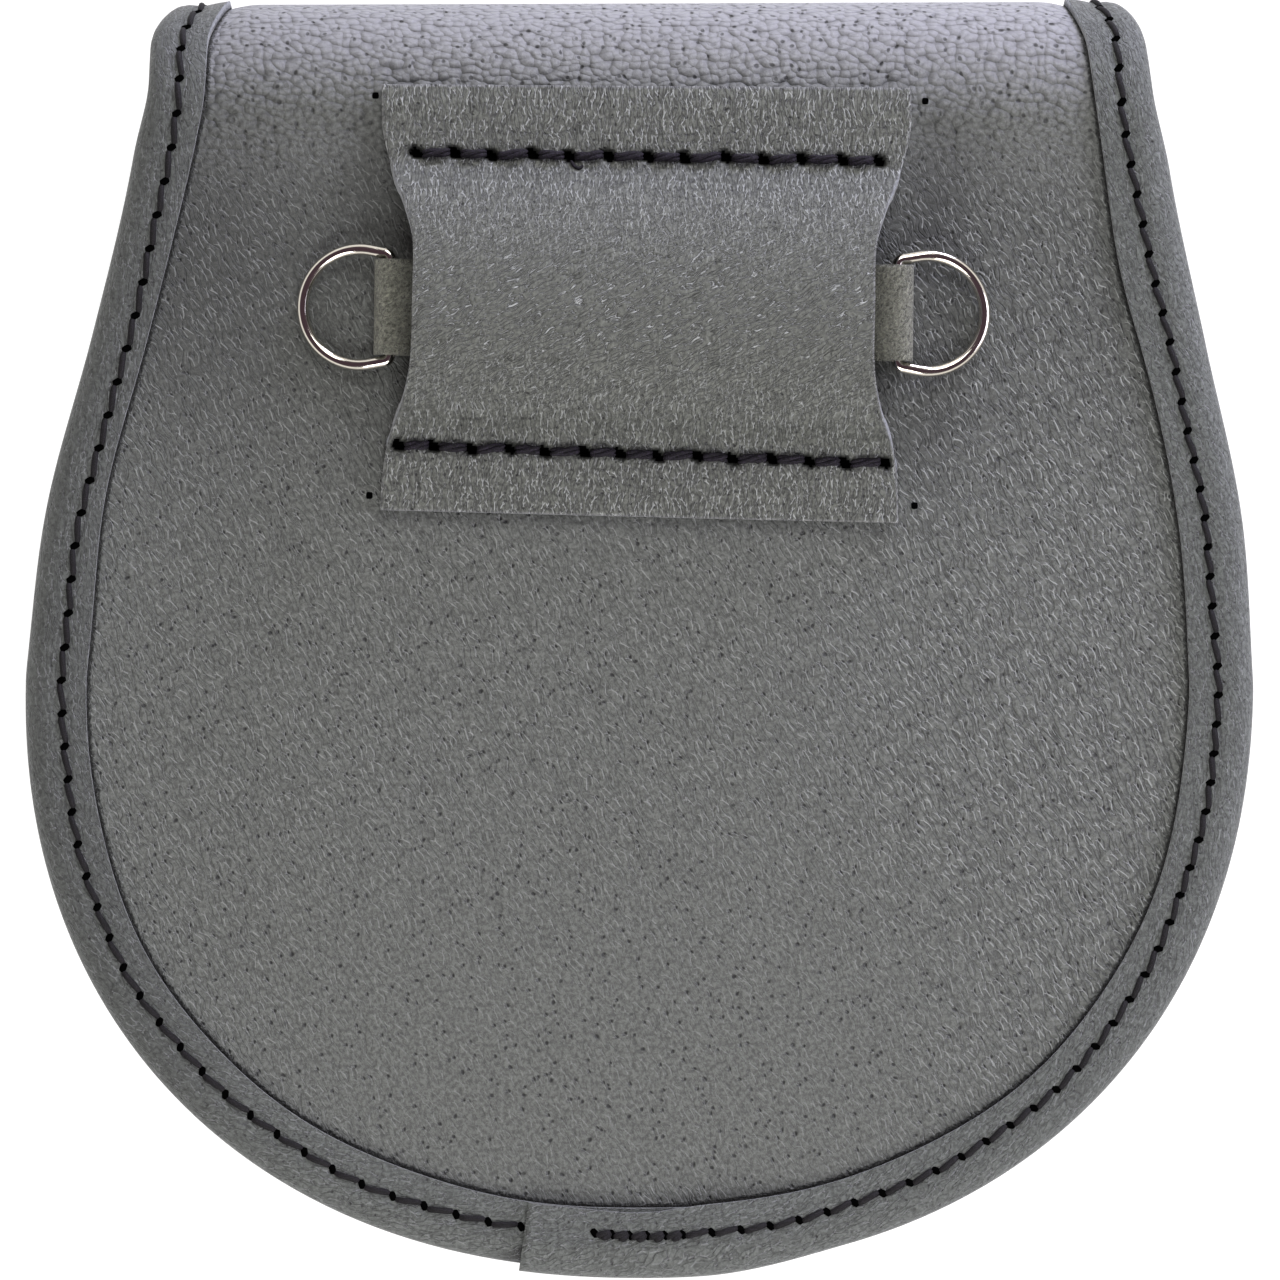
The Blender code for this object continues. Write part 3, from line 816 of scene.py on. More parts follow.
@dataclass(frozen=True)
class Scales:
    """Low rounded scales that meet in dark pits; size is in millimetres and turn in degrees."""

    mark: str
    size: tuple[float, float]
    turn: float
    pale: float
    dark: float
    rise: float
    top: tuple[float, float] = (0.0, 0.5)
    pit: tuple[float, float] = (0.8, 0.56)
    spread: float = 0.85

    def nodes(self, add: Callable, place: Socket, gaps: Socket) -> tuple[Socket, Socket, Socket]:
        """The pale tops, the dark pits, and the height of the scales."""
        mapped = in_cells(add, place, self.turn, self.size)
        away = add(
            "ShaderNodeTexVoronoi", {"Vector": mapped, "Scale": 1.0, "Randomness": self.spread},
            "Distance", voronoi_dimensions="2D",
        )
        strength = mark_of(add, self.mark)
        found = []
        for value, amount in (
            (faded(add, away, *self.top), self.pale),
            (faded(add, away, *self.pit), self.dark),
            (add("ShaderNodeMath", {0: away, 1: 2.0}, operation="POWER"), -self.rise),
        ):
            value = add("ShaderNodeMath", {0: value, 1: amount}, operation="MULTIPLY")
            found.append(add("ShaderNodeMath", {0: value, 1: strength}, operation="MULTIPLY"))
        return tuple(found)


@dataclass(frozen=True)
class Hide:
    """Grained leather, pigmented grey and lightly finished; heights are in millimetres."""

    name: str
    ground: str
    shade: str
    bloom: str
    features: tuple[Follicles | Creases | Scales, ...]
    # The pale paint of a thin line along cut edges and of the painted light on the roll over the
    # fold
    worn: str = "#9a9aa2"
    # Painted shade: the black of the awl holes and of the gap beside the binding's edge
    black: str = "#060606"
    mottle: tuple[float, float] = (0.66, 1.34)
    micro_relief: float = 0.1
    pit_depth: float = 0.35
    roughness: float = 0.58
    rough_span: float = 0.1
    # tuck, tuck_start and ragged draw a painted shadow: a ragged black line along the binding's
    # inner edge
    tuck: float = 0.0
    tuck_start: float = 0.55
    ragged: float = 0.9

    def material(self) -> bpy.types.Material:
        """Build the leather's nodes."""
        material, shader = new_material(self.name)
        add = partial(add_node, material.node_tree)
        hide = add("ShaderNodeUVMap", uv_map="hide")
        drift = add(
            "ShaderNodeTexNoise", {"Vector": hide, "Scale": 0.3, "Detail": 1.0}, "Color",
            noise_dimensions="2D",
        )
        gaps = add("ShaderNodeSeparateColor", {0: drift}, "Blue")
        drift = add("ShaderNodeVectorMath", {0: drift, 1: (0.5, 0.5, 0.5)}, operation="SUBTRACT")
        place = add(
            "ShaderNodeVectorMath", {0: drift, 1: (1.1, 1.1, 0.0), 2: hide},
            operation="MULTIPLY_ADD",
        )
        fine = add(
            "ShaderNodeTexNoise", {"Vector": hide, "Scale": 1.5, "Detail": 3.0, "Roughness": 0.75},
            noise_dimensions="2D",
        )
        pit = self.pits(add, fine)
        height = add("ShaderNodeMath", {0: fine, 1: self.micro_relief}, operation="MULTIPLY")
        height = add(
            "ShaderNodeMath", {0: pit, 1: -self.pit_depth, 2: height}, operation="MULTIPLY_ADD"
        )
        light = dark = 0.0
        for feature in self.features:
            more = feature.nodes(add, place, gaps)
            light, dark, height = (
                add("ShaderNodeMath", {0: part, 1: extra}, operation="ADD")
                for part, extra in zip((light, dark, height), more)
            )
        colour = self.colour(add, dark, light, fine, pit)
        smoothest, roughest = self.roughness - self.rough_span, self.roughness + self.rough_span
        rough = add(
            "ShaderNodeMapRange", {"Value": fine, "To Min": smoothest, "To Max": roughest}
        )
        bump = add("ShaderNodeBump", {"Height": height, "Distance": MM, "Strength": 1.0})
        dressing = {"IOR": 1.5, "Sheen Weight": 0.12, "Sheen Roughness": 0.35}
        fill(shader, {"Base Color": colour, "Roughness": rough, "Normal": bump, **dressing})
        return material

    def pits(self, add: Callable, fine: Socket) -> Socket:
        """All that is painted black as shade: the rims of awl holes, and the gap that the edge
        tucks into.
        """
        pit = mark_of(add, "pit")
        if not self.tuck:
            return pit
        gap = add("ShaderNodeMath", {0: mark_of(add, "tuck")}, operation="ABSOLUTE")
        ragged = add("ShaderNodeMath", {0: fine, 1: self.ragged, 2: gap}, operation="MULTIPLY_ADD")
        hole = faded(add, ragged, self.tuck_start, self.tuck_start + self.tuck)
        return add("ShaderNodeMath", {0: pit, 1: hole}, operation="MAXIMUM")

    def colour(
        self, add: Callable, dark: Socket, light: Socket, fine: Socket, pit: Socket
    ) -> Socket:
        """The mottled pigment, shaded in pores and valleys, rubbed on creases, with pools of
        painted shade, painted light on the roll, a pale line on cut edges, and painted black shade
        in pits.
        """
        deepest, palest = self.mottle
        tone = add(
            "ShaderNodeMapRange",
            {
                "Value": fine, "From Min": 0.38, "From Max": 0.62,
                "To Min": deepest, "To Max": palest,
            },
        )
        colour = add(
            "ShaderNodeVectorMath", {0: linear(self.ground)[:3], "Scale": tone}, operation="SCALE"
        )
        for amount, paint in (
            (mark_of(add, "dye"), self.shade), (mark_of(add, "worn"), self.worn),
            (dark, self.shade), (light, self.bloom), (pit, self.black),
        ):
            colour = add(
                "ShaderNodeMix", {0: amount, 6: colour, 7: linear(paint)}, 2, data_type="RGBA"
            )
        return colour


@dataclass(frozen=True)
class Nap:
    """The rough side of split leather, or a raw cut edge: matt, with short mixed fibres.

    Real fibres are about 0.05 mm thick. They are drawn in tufts of fibre_mm, so that they show.
    """

    name: str
    ground: str
    fibre: str
    fibre_mm: float = 0.5
    stretch: float = 2.4
    turn: float = 40.0
    relief: float = 0.16
    roughness: float = 0.85

    def material(self) -> bpy.types.Material:
        """Build the nap's nodes."""
        material, shader = new_material(self.name)
        add = partial(add_node, material.node_tree)
        tuft = self.fibre_mm * MM
        mapped = add(
            "ShaderNodeMapping",
            {
                "Vector": add("ShaderNodeTexCoord", output="Object"),
                "Rotation": (0, 0, math.radians(self.turn)),
                "Scale": (tuft * self.stretch, tuft, tuft),
            },
            vector_type="TEXTURE",
        )
        fibres = add(
            "ShaderNodeTexNoise",
            {"Vector": mapped, "Scale": 1.0, "Detail": 3.0, "Roughness": 0.7, "Distortion": 0.6},
        )
        sharp = add("ShaderNodeMapRange", {"Value": fibres, "From Min": 0.36, "From Max": 0.66})
        colour = add(
            "ShaderNodeMix", {0: sharp, 6: linear(self.ground), 7: linear(self.fibre)}, 2,
            data_type="RGBA",
        )
        bump = add(
            "ShaderNodeBump", {"Height": sharp, "Distance": self.relief * MM, "Strength": 1.0}
        )
        dressing = {"IOR": 1.5, "Sheen Weight": 0.25, "Sheen Roughness": 0.5}
        fill(
            shader, {"Base Color": colour, "Normal": bump, "Roughness": self.roughness, **dressing}
        )
        return material


@dataclass(frozen=True)
class Thread:
    """Polyester sewing thread: near black, with fine lengthways filaments and a soft gloss.

    Real filaments are about 0.02 mm thick. They are drawn in strands of filament_mm, so that
    they show.
    """

    name: str
    ground: str
    filament: str
    filament_mm: float = 0.16
    relief: float = 0.05

    def material(self) -> bpy.types.Material:
        """Build the thread's nodes."""
        material, shader = new_material(self.name)
        add = partial(add_node, material.node_tree)
        place = add("ShaderNodeTexCoord", output="Object")
        strands = add(
            "ShaderNodeTexNoise",
            {"Vector": place, "Scale": 1 / (self.filament_mm * MM), "Detail": 1.0},
        )
        lit = add("ShaderNodeMapRange", {"Value": strands, "From Min": 0.45, "From Max": 0.7})
        colour = add(
            "ShaderNodeMix", {0: lit, 6: linear(self.ground), 7: linear(self.filament)}, 2,
            data_type="RGBA",
        )
        bump = add(
            "ShaderNodeBump", {"Height": strands, "Distance": self.relief * MM, "Strength": 1.0}
        )
        dressing = {"Roughness": 0.72, "Specular IOR Level": 0.25}
        fill(shader, {"Base Color": colour, "Normal": bump, **dressing})
        return material


@dataclass(frozen=True)
class PlatedSteel:
    """Nickel plate on steel: mirror bright, with a faint haze from tumbling."""

    name: str
    colour: str
    roughness: float = 0.12
    haze_mm: float = 0.9

    def material(self) -> bpy.types.Material:
        """Build the plating's nodes."""
        material, shader = new_material(self.name)
        add = partial(add_node, material.node_tree)
        place = add("ShaderNodeTexCoord", output="Object")
        haze = add(
            "ShaderNodeTexNoise",
            {"Vector": place, "Scale": 1 / (self.haze_mm * MM), "Detail": 3.0},
        )
        rough = add(
            "ShaderNodeMapRange",
            {"Value": haze, "To Min": self.roughness * 0.5, "To Max": self.roughness * 1.6},
        )
        fill(shader, {"Base Color": linear(self.colour), "Metallic": 1.0, "Roughness": rough})
        return material


class Palette:
    """Every finish on the sporran, each made once."""

    def __init__(self) -> None:
        """Make the materials."""
        # Cowhide, boarded until it pebbles: matt grey, with dark pores and thin rubbed creases
        self.panel = Hide(
            "pebbled_grain_leather", "#595b59", "#111114", "#b4b7b8",
            (
                Follicles((0.95, 2.5), 30.0, 2.3, 0.52, 0.33, scarce=(0.4, 1.1), bare=(0.2, 0.42)),
                Creases("crease", (0.85, 3.6), 28.0, 0.42, 0.5, 0.1, 0.14),
                Scales("scale", (1.45, 1.0), 0.0, 0.12, 0.27, 0.6),
            ),
            tuck=0.6,
        ).material()
        # Looser hide, pulled over the arch: short pale hairline marks, and slanting folds mid-way
        self.loop = Hide(
            "loop_grain_leather", "#595b57", "#111114", "#b4b7b8",
            (
                Follicles(
                    (0.85, 1.2), 0.0, 0.7, 0.62, 0.22, arm=0.5, fork=0.35, bend=0.05, sway=0.5,
                    line=0.12,
                ),
                Creases("crease", (0.6, 1.9), 2.0, 0.35, 0.6, 0.08, 0.1, reach=0.12),
                Creases("scale", (0.6, 3.0), -61.0, 0.8, 0.5, 0.3, 0.32, width=0.03, whole=0.25),
            ),
        ).material()
        # Skived calf, rolled flat: the plainest and evenest grey, with faint lengthways creases
        self.tape = Hide(
            "binding_grain_leather", "#535655", "#131115", "#9a9ca1",
            (
                Follicles((1.0, 1.8), 14.0, 1.4, 0.4, 0.2),
                Creases("crease", (0.7, 2.4), 14.0, 0.4, 0.5, 0.1, 0.1),
            ),
        ).material()
        # A knife-cut edge: short pale fibres with no shine, which draw each piece's outline
        self.edge = Nap("raw_leather_edge", "#62646a", "#8d9097", relief=0.1).material()
        # Split leather, flesh side out: an olive nap with dark flecks and no grain
        self.strap = Nap(
            "napped_split_leather", "#3a3a32", "#8c8d80", fibre_mm=0.4, stretch=1.5, relief=0.35
        ).material()
        # Bonded thread from the sewing machine: a thin hard line, near black with a plum cast
        self.thin_thread = Thread("bonded_polyester_thread", "#0a090b", "#262229").material()
        # Waxed thread, sewn by hand: blacker and fatter, its plies catching a soft light
        self.thick_thread = Thread("waxed_polyester_thread", "#060507", "#2f2838").material()
        # The painted shade inside a punched hole: black and without gloss, the darkest thing to
        # see
        self.bore, inside = new_material("punched_leather_bore")
        dull = {"Roughness": 1.0, "Specular IOR Level": 0.0}
        fill(inside, {"Base Color": linear("#040404"), **dull})
        # Nickel on round wire, barrel tumbled: pale bright edges beside a dark mirrored middle
        self.nickel = PlatedSteel("tumbled_nickel_plate", "#d8d3cb").material()
        # Nickel on a stamped cap: a duller, broader shine than the rings'
        self.stud = PlatedSteel("stamped_nickel_plate", "#b9b6b0", roughness=0.28).material()


@dataclass
class BackAndFlap:
    """The one leather sheet that is the back, the fold and the flap.

    roll, right, low and inner are the bands over which the grain changes, in shares of the
    back's depth or half width. pull is the creasing over the bottom: its strength, its place and
    width across, its place and width in from the edge, and the share of the depth where it
    starts. A pool of painted shade is its x, depth, width, height and strength; the pools stand
    for the shadows beside the belt loop and the shade over the upper back.
    """

    shape: PouchShape
    edge: SheetEdge
    binding: "EdgeBinding"
    roll_wear: float = 0.68
    roll_wear_lean: float = 0.12
    roll_reach: float = 16.0 * MM
    most_dye: float = 0.75
    rim_steps: int = 2400
    least_crease: float = 0.62
    low_crease: float = 0.5
    right_scale: float = 0.35
    roll_pore: float = 0.15
    roll: Ramp = Ramp(0.2, -0.14)
    right: Ramp = Ramp(0.15, 0.5)
    low: Ramp = Ramp(0.58, 0.25)
    inner: Ramp = Ramp(0.85, -0.5)
    pull: tuple = (0.7, 7 * MM, 14 * MM, 8 * MM, 3.5 * MM, 0.8)
    dye_pools: tuple = (
        (-68 * MM, 34 * MM, 25 * MM, 34 * MM, 0.55),
        (-40 * MM, 26 * MM, 5 * MM, 12 * MM, 0.45),
        (-39 * MM, 62 * MM, 6 * MM, 8 * MM, 0.2),
        (60 * MM, 40 * MM, 20 * MM, 26 * MM, 0.28),
        (41 * MM, 30 * MM, 8 * MM, 18 * MM, 0.6),
        (41 * MM, 60 * MM, 8 * MM, 12 * MM, 0.42),
    )

    def __post_init__(self) -> None:
        """Lay the edge into a tree that finds the nearest place on it."""
        self.arcs = np.linspace(0, self.binding.length, self.rim_steps)
        self.rim = KDTree(len(self.arcs))
        for number, arc in enumerate(self.arcs):
            x, s, _, _ = self.binding.at(arc)
            self.rim.insert((x, s, 0), number)
        self.rim.balance()

    def marks(self, x: float, s: float) -> dict[str, float]:
        """How strong each feature of the grain is at a place on the sheet."""
        shape = self.shape
        _, number, inwards = self.rim.find((x, s, 0))
        arc = float(self.arcs[number])
        leg = self.binding.leg(arc)
        if arc < self.binding.under_end:
            leg = max(leg, self.binding.leg(arc + self.binding.length))
        # The distance from the tape's edge, which places the painted shadow along it
        tuck = (inwards - leg) / MM
        across = x / shape.back.widest_half
        down = shape.depth_of(s) / shape.back.bottom_depth
        # Painted light on the roll over the fold, stronger to the right, where the light comes
        # from
        worn = self.roll_wear + self.roll_wear_lean * across
        worn *= smooth((self.roll_reach - shape.depth_of(s)) / self.roll_reach)
        if s > shape.quarter:
            return {"crease": 0.6, "scale": 0.3, "pore": 0.8, "worn": worn, "tuck": tuck}
        roll, right = self.roll.at(down), self.right.at(across)
        low = self.low.at(down) * self.inner.at(abs(across))
        strength, middle, wide, inset, deep, lowest = self.pull
        pull = strength * bell(x - middle, wide) * bell(inwards - inset, deep) * (down > lowest)
        crease = self.least_crease + (1 - self.least_crease) * right
        return {
            "crease": max(crease * (1 - roll) * (1 - self.low_crease * low), pull),
            "scale": max(roll, self.right_scale * right * (1 - low)),
            "pore": 1 - self.roll_pore * roll,
            "worn": worn,
            "dye": self.dye(x, shape.depth_of(s)),
            "tuck": tuck,
        }

    def dye(self, x: float, depth: float) -> float:
        """How much painted shade lies there, standing for the shadows beside the belt loop and the
        shade over the upper back.
        """
        heavy = 0.0
        for across, down, wide, tall, amount in self.dye_pools:
            heavy += amount * bell((x - across) / wide, 1.0) * bell((depth - down) / tall, 1.0)
        return min(heavy, self.most_dye)

    def build(self, palette: Palette) -> None:
        """Make the sheet and dress it."""

        def spot(i: int, j: int) -> Spot:
            """One vertex of the sheet."""
            x, s = self.edge.place(i, j)
            return Spot(self.shape.point(x, s), (x / MM, s / MM), self.marks(x, s))

        rows = len(self.edge.rows) - 1
        sheet = leather_sheet(
            "back_and_flap_leather", self.edge.columns, rows, spot, self.shape.sheet,
            (palette.panel, palette.edge),
        )
        attach(sheet, Body.POUCH, ["back_and_flap"])


@dataclass(frozen=True)
class SeamRun:
    """A run of stitches along the binding: where it ends and how far apart its holes are."""

    end: float
    pitch: float


@dataclass
class EdgeBinding:
    """The tape folded over the whole edge, its overlap at the bottom, and its seam.

    Places along the edge are lengths from the bottom centre, anticlockwise. narrow and broad are
    the depth, the spread and the amount by which the tape's reach changes at the left and the
    right. puff is a swelling's height, inset and width; edge_curl the drop and width of the
    turned-down edge; peep the place, width and amount by which the tape bares its under layer.
    A wave is its height, its length in millimetres and its shift. retrace is how far along and
    aside the second pass of thread lies; slit_size a needle hole's length, width and turn; held
    the mean pull of the thread and its swing; end_dye the step back from the cut end of the
    shadow painted there, and the shadow's strength.
    """

    shape: PouchShape
    edge: SheetEdge
    over_end: float = -15.6 * MM
    under_end: float = 10.0 * MM
    lift_ramp: float = 22.0 * MM
    step: float = 0.85 * MM
    seam_reach: float = -3.0 * MM
    seam_start: float = -5.1 * MM
    seam_stop: float = -16.2 * MM
    backtack_end: float = 8.0 * MM
    backtack_pitch: float = 2.65 * MM
    right_pitch: float = 4.45 * MM
    flap_pitch: float = 4.8 * MM
    left_pitch: float = 5.05 * MM
    retrace: tuple = (0.9 * MM, 0.5 * MM)
    thread_radius: float = 0.45 * MM
    slant: float = 0.38 * MM
    hole_clear: float = 0.2 * MM
    thread_ride: float = 0.4
    thread_sink: float = 2.2
    puff: tuple = (0.1 * MM, 0.8 * MM, 1.6 * MM)
    edge_curl: tuple = (0.12 * MM, 0.9 * MM)
    seam_waves: tuple = ((0.16 * MM, 9.3, 0.0), (0.1 * MM, 3.7, 1.3))
    cut_waves: tuple = ((0.18 * MM, 17.0, 0.0), (0.1 * MM, 6.1, 0.0))
    peep: tuple = (1.5 * MM, 7 * MM, 0.75 * MM)
    groove: float = 0.3 * MM
    groove_width: float = 0.85 * MM
    slit_size: tuple = (1.5 * MM, 1.15 * MM, math.radians(50))
    slit_lift: float = 0.06 * MM
    flatness: float = 0.85
    held: tuple = (0.55, 0.45)
    left_dye: float = 0.24
    left_dye_ramp: Ramp = Ramp(-48 * MM, -24 * MM)
    cut_wear: float = 0.08
    narrow: tuple = (58 * MM, 38 * MM, 1.3 * MM)
    broad: tuple = (37 * MM, 12 * MM, 0.7 * MM)
    end_dye: tuple = (0.25 * MM, 0.9)

    def __post_init__(self) -> None:
        """Measure the edge and lay out the seam's holes."""
        line = self.edge.around()
        normals = outward(line)
        self.arc = lengths_along(line)
        self.length = self.arc[-1]
        self.line = np.concatenate([line, normals], axis=1)
        fold = self.arc[np.argmin(np.abs(line[: len(line) // 2, 1]))]
        runs = [
            SeamRun(self.backtack_end, self.backtack_pitch),
            SeamRun(fold, self.right_pitch),
            SeamRun(self.length - fold, self.flap_pitch),
            SeamRun(self.length + self.seam_stop, self.left_pitch),
        ]
        holes = [self.seam_start]
        for run in runs:
            count = round((run.end - holes[-1]) / run.pitch)
            holes += list(np.linspace(holes[-1], run.end, count + 1)[1:])
        self.holes = np.array(holes)

    def at(self, arc: float) -> tuple[float, float, float, float]:
        """The (x, s, outward x, outward s) of the sheet's edge at an arc length."""
        arc = arc % self.length
        return tuple(float(np.interp(arc, self.arc, self.line[:, k])) for k in range(4))

    def wander(self, arc: float) -> float:
        """How far the seam strays from its line, as a hand-guided seam does."""
        return waver(self.seam_waves, arc / MM)

    def lift(self, arc: float) -> float:
        """How far the tape is raised where it lies over its own start."""
        ramp_end = self.under_end + self.lift_ramp
        return self.shape.lift * smooth((ramp_end - arc) / self.lift_ramp)

    def leg(self, arc: float) -> float:
        """The tape's reach in: less down the left side and where the under layer peeps out."""
        x, s, _, _ = self.at(arc)
        middle, reach, change = self.narrow if x < 0 else self.broad
        uneven = math.copysign(change, x) * bell(self.shape.depth_of(s) - middle, reach) * (s < 0)
        where, wide, shown = self.peep
        peep = shown * bell(arc - where, wide)
        return self.shape.tape_leg + waver(self.cut_waves, arc / MM) - peep + uneven

    def phase(self, arc: float) -> float:
        """How many stitches along the seam a place lies: whole numbers are holes."""
        if arc < self.holes[0] - MM or arc > self.holes[-1] + MM:
            return 0.5
        return float(np.interp(arc, self.holes, np.arange(len(self.holes))))

    def section(self) -> list[tuple[float, float, bool]]:
        """The tape's section as (share of leg or nose, turn, is it a leg), outer leg first."""
        legs = [0.0, 0.025, 0.1, 0.2, 0.3, 0.4, 0.48, 0.54, 0.57, 0.6, 0.66, 0.74, 0.84, 0.93]
        noses = np.linspace(0, math.pi, 15)
        outer = [(share, 0.0, True) for share in legs]
        inner = [(share, math.pi, True) for share in reversed(legs[::3])]
        return outer + [(1.0, turn, False) for turn in noses] + inner

    def surface(self, arc: float, reach: float, turn: float, is_leg: bool) -> Vector:
        """A point on the tape's outer face.

        Args:
            arc: the place along the edge.
            reach: how far out from the edge, on a leg.
            turn: 0 on the outer leg, up to pi on the inner one.
            is_leg: whether the point lies on a leg or on the nose.

        Returns:
            The point.
        """
        x, s, out_x, out_s = self.at(arc)
        stack = self.shape.inner_stack(s)
        radius = stack / 2 + self.shape.gap + self.shape.tape + self.lift(arc)
        height = radius * math.cos(turn) - stack / 2
        if not is_leg:
            reach = radius * math.sin(turn) - self.shape.nose_bite
        if turn < math.pi / 2 and is_leg:
            height += self.pressed(arc, reach)
        return self.shape.point(x + reach * out_x, s + reach * out_s, height)

    def pressed(self, arc: float, reach: float) -> float:
        """How the outer leg's face is drawn down along the seam and at its holes."""
        off = reach - self.seam_reach - self.wander(arc)
        phase = self.phase(arc)
        pull = 0.0
        if phase != 0.5:
            pull = self.held[0] + self.held[1] * math.cos(math.tau * phase)
        high, inset, wide = self.puff
        puff = high * bell(reach + inset, wide)
        low, wide = self.edge_curl
        curl = low * bell(reach + self.leg(arc), wide)
        return puff - curl - self.groove * pull * bell(off, self.groove_width)

    def build(self, palette: Palette) -> None:
        """Make the tape and its seam."""
        start, stop = self.over_end, self.length + self.under_end
        count = round((stop - start) / self.step)
        cut = self.length + self.over_end
        back, strength = self.end_dye
        arcs = np.append(np.linspace(start, stop, count + 1), cut - back * np.arange(4))
        arcs.sort()
        section = self.section()
        shape = self.shape

        def spot(i: int, j: int) -> Spot:
            """One vertex of the tape."""
            arc = float(arcs[j])
            share, turn, is_leg = section[i]
            reach = -self.leg(arc) * (1 - share) - shape.nose_bite * share
            point = self.surface(arc, reach, turn, is_leg)
            round_nose = turn * (shape.stack / 2 + shape.lift)
            hide = (reach + round_nose) / MM
            if turn > math.pi / 2:
                hide += 2 * (shape.tape_leg + reach) / MM
            # Painted shade on the tape's left side, which lies turned away from the light
            dyed = self.left_dye * self.left_dye_ramp.at(point.x)
            # A painted shadow darkens the cut end where the tape turns under, and not on its face
            if round_nose:
                dyed = max(dyed, strength * bell(arc - cut + back, round_nose))
            worn = self.cut_wear if i == 0 else 0.0
            marks = {"crease": 0.8, "pore": 0.7, "worn": worn, "dye": dyed}
            return Spot(point, (hide, arc / MM), marks)

        tape = leather_sheet(
            "binding_tape", len(section) - 1, len(arcs) - 1, spot, shape.tape,
            (palette.tape, palette.edge),
        )
        attach(tape, Body.POUCH, ["edge_binding"])
        bm = bmesh.new()
        for first, second in zip(self.holes, self.holes[1:]):
            self.stitch(bm, float(first), float(second))
            if second < self.backtack_end + MM:
                self.stitch(bm, float(first) + self.retrace[0], float(second), self.retrace[1])
        for hole in self.holes:
            self.slit(bm, float(hole))
        stitches = finish_mesh("binding_stitches", bm, palette.thin_thread, palette.bore)
        attach(stitches, Body.POUCH)

    def stitch(
        self, bm: bmesh.types.BMesh, first: float, second: float, aside: float = 0.0
    ) -> None:
        """One stitch on the tape's outer leg, slanting from hole to hole, or beside another."""
        radius = self.thread_radius
        up = self.normal((first + second) / 2, self.seam_reach)
        start, span = first + self.hole_clear, second - first - 2 * self.hole_clear

        def path(share: float) -> Vector:
            """The thread's middle at a share of the stitch."""
            arc = start + span * share
            reach = self.seam_reach + self.wander(arc) + self.slant * (1 - 2 * share)
            reach += aside * math.sin(math.pi * share)
            over = self.thread_ride - self.thread_sink * abs(2 * share - 1) ** BLUNTNESS
            surface = self.surface(arc, reach, 0.0, True)
            return surface + self.normal(arc, reach) * (over * radius)

        lay_strand(bm, path, up, radius, self.flatness)

    def slit(self, bm: bmesh.types.BMesh, hole: float) -> None:
        """A needle hole's mouth, drawn as a flat black strand of painted shade just over the
        leather, slanting across the seam.
        """
        long, wide, turn = self.slit_size

        def path(share: float) -> Vector:
            """The slit's middle at a share of its length."""
            off = long * (share - 0.5)
            reach = self.seam_reach + self.wander(hole) + off * math.sin(turn)
            arc = hole + off * math.cos(turn)
            return self.surface(arc, reach, 0.0, True) + self.normal(arc, reach) * self.slit_lift

        up = self.normal(hole, self.seam_reach)
        lay_strand(bm, path, up, wide / 2, 0.3, sides=6, rings=5, finish=1)

    def normal(self, arc: float, reach: float) -> Vector:
        """The direction out of the leather's outer face under the tape."""
        x, s, out_x, out_s = self.at(arc)
        x, s = x + reach * out_x, s + reach * out_s
        return (self.shape.point(x, s, MM) - self.shape.point(x, s)).normalized()


@dataclass
class Gusset:
    """The side strip of the pouch, with its flanges under the back and over the front panel."""

    shape: PouchShape
    edge: SheetEdge
    inset: float = 9.5 * MM
    bow: float = 1.2 * MM
    bend: float = 2.2 * MM
    front_flange: float = 7.0 * MM
    pucker: float = 0.3 * MM

    def section(self) -> list[tuple[float, float]]:
        """The outer face as (inset from the back's edge, height)."""
        shape = self.shape
        top = shape.body_depth - shape.sheet - shape.gap - shape.wall
        low = shape.front_rim_z + shape.front + shape.gap
        small = self.bend - shape.wall
        section = [(self.inset * share, top) for share in (0.0, 0.25, 0.5, 0.75)]
        for turn in np.linspace(0, math.pi / 2, 5):
            inwards = self.inset - small * (1 - math.sin(turn))
            section.append((inwards, top - small * (1 - math.cos(turn))))
        wall_top, wall_low = top - small, low + self.bend
        for share in np.linspace(0.1, 0.9, 9):
            bow = self.bow * math.sin(math.pi * share)
            section.append((self.inset - bow, blend(wall_top, wall_low, share)))
        for turn in np.linspace(0, math.pi / 2, 7):
            inwards = self.inset + self.bend * (1 - math.cos(turn))
            section.append((inwards, low + self.bend * (1 - math.sin(turn))))
        for share in (0.35, 0.7, 1.0):
            section.append((self.inset + self.bend + (self.front_flange - self.bend) * share, low))
        return section

    def build(self, palette: Palette) -> None:
        """Make the strip and dress it."""
        edge = resampled(self.edge.pouch_edge(), 360)
        out = outward(edge)
        arc = lengths_along(edge)
        section = self.section()
        low, high = section[-1][1], section[0][1]

        def spot(i: int, j: int) -> Spot:
            """One vertex of the strip."""
            inwards, z = section[i]
            along = arc[j] / MM
            ripple = math.sin(along / 3.1) * math.sin(along / 11.7 + 0.8)
            bare = math.sin(math.pi * (z - low) / (high - low)) ** 2
            x, y = edge[j] - (inwards + self.pucker * ripple * bare) * out[j]
            marks = {"crease": 0.6, "scale": 0.2, "pore": 0.7, "tuck": UNTUCKED}
            return Spot(Vector((x, y, z)), ((inwards - z) / MM, along), marks)

        strip = leather_sheet(
            "gusset_strip", len(section) - 1, len(edge) - 1, spot, self.shape.wall,
            (palette.panel, palette.edge),
        )
        attach(strip, Body.POUCH, ["gusset"])


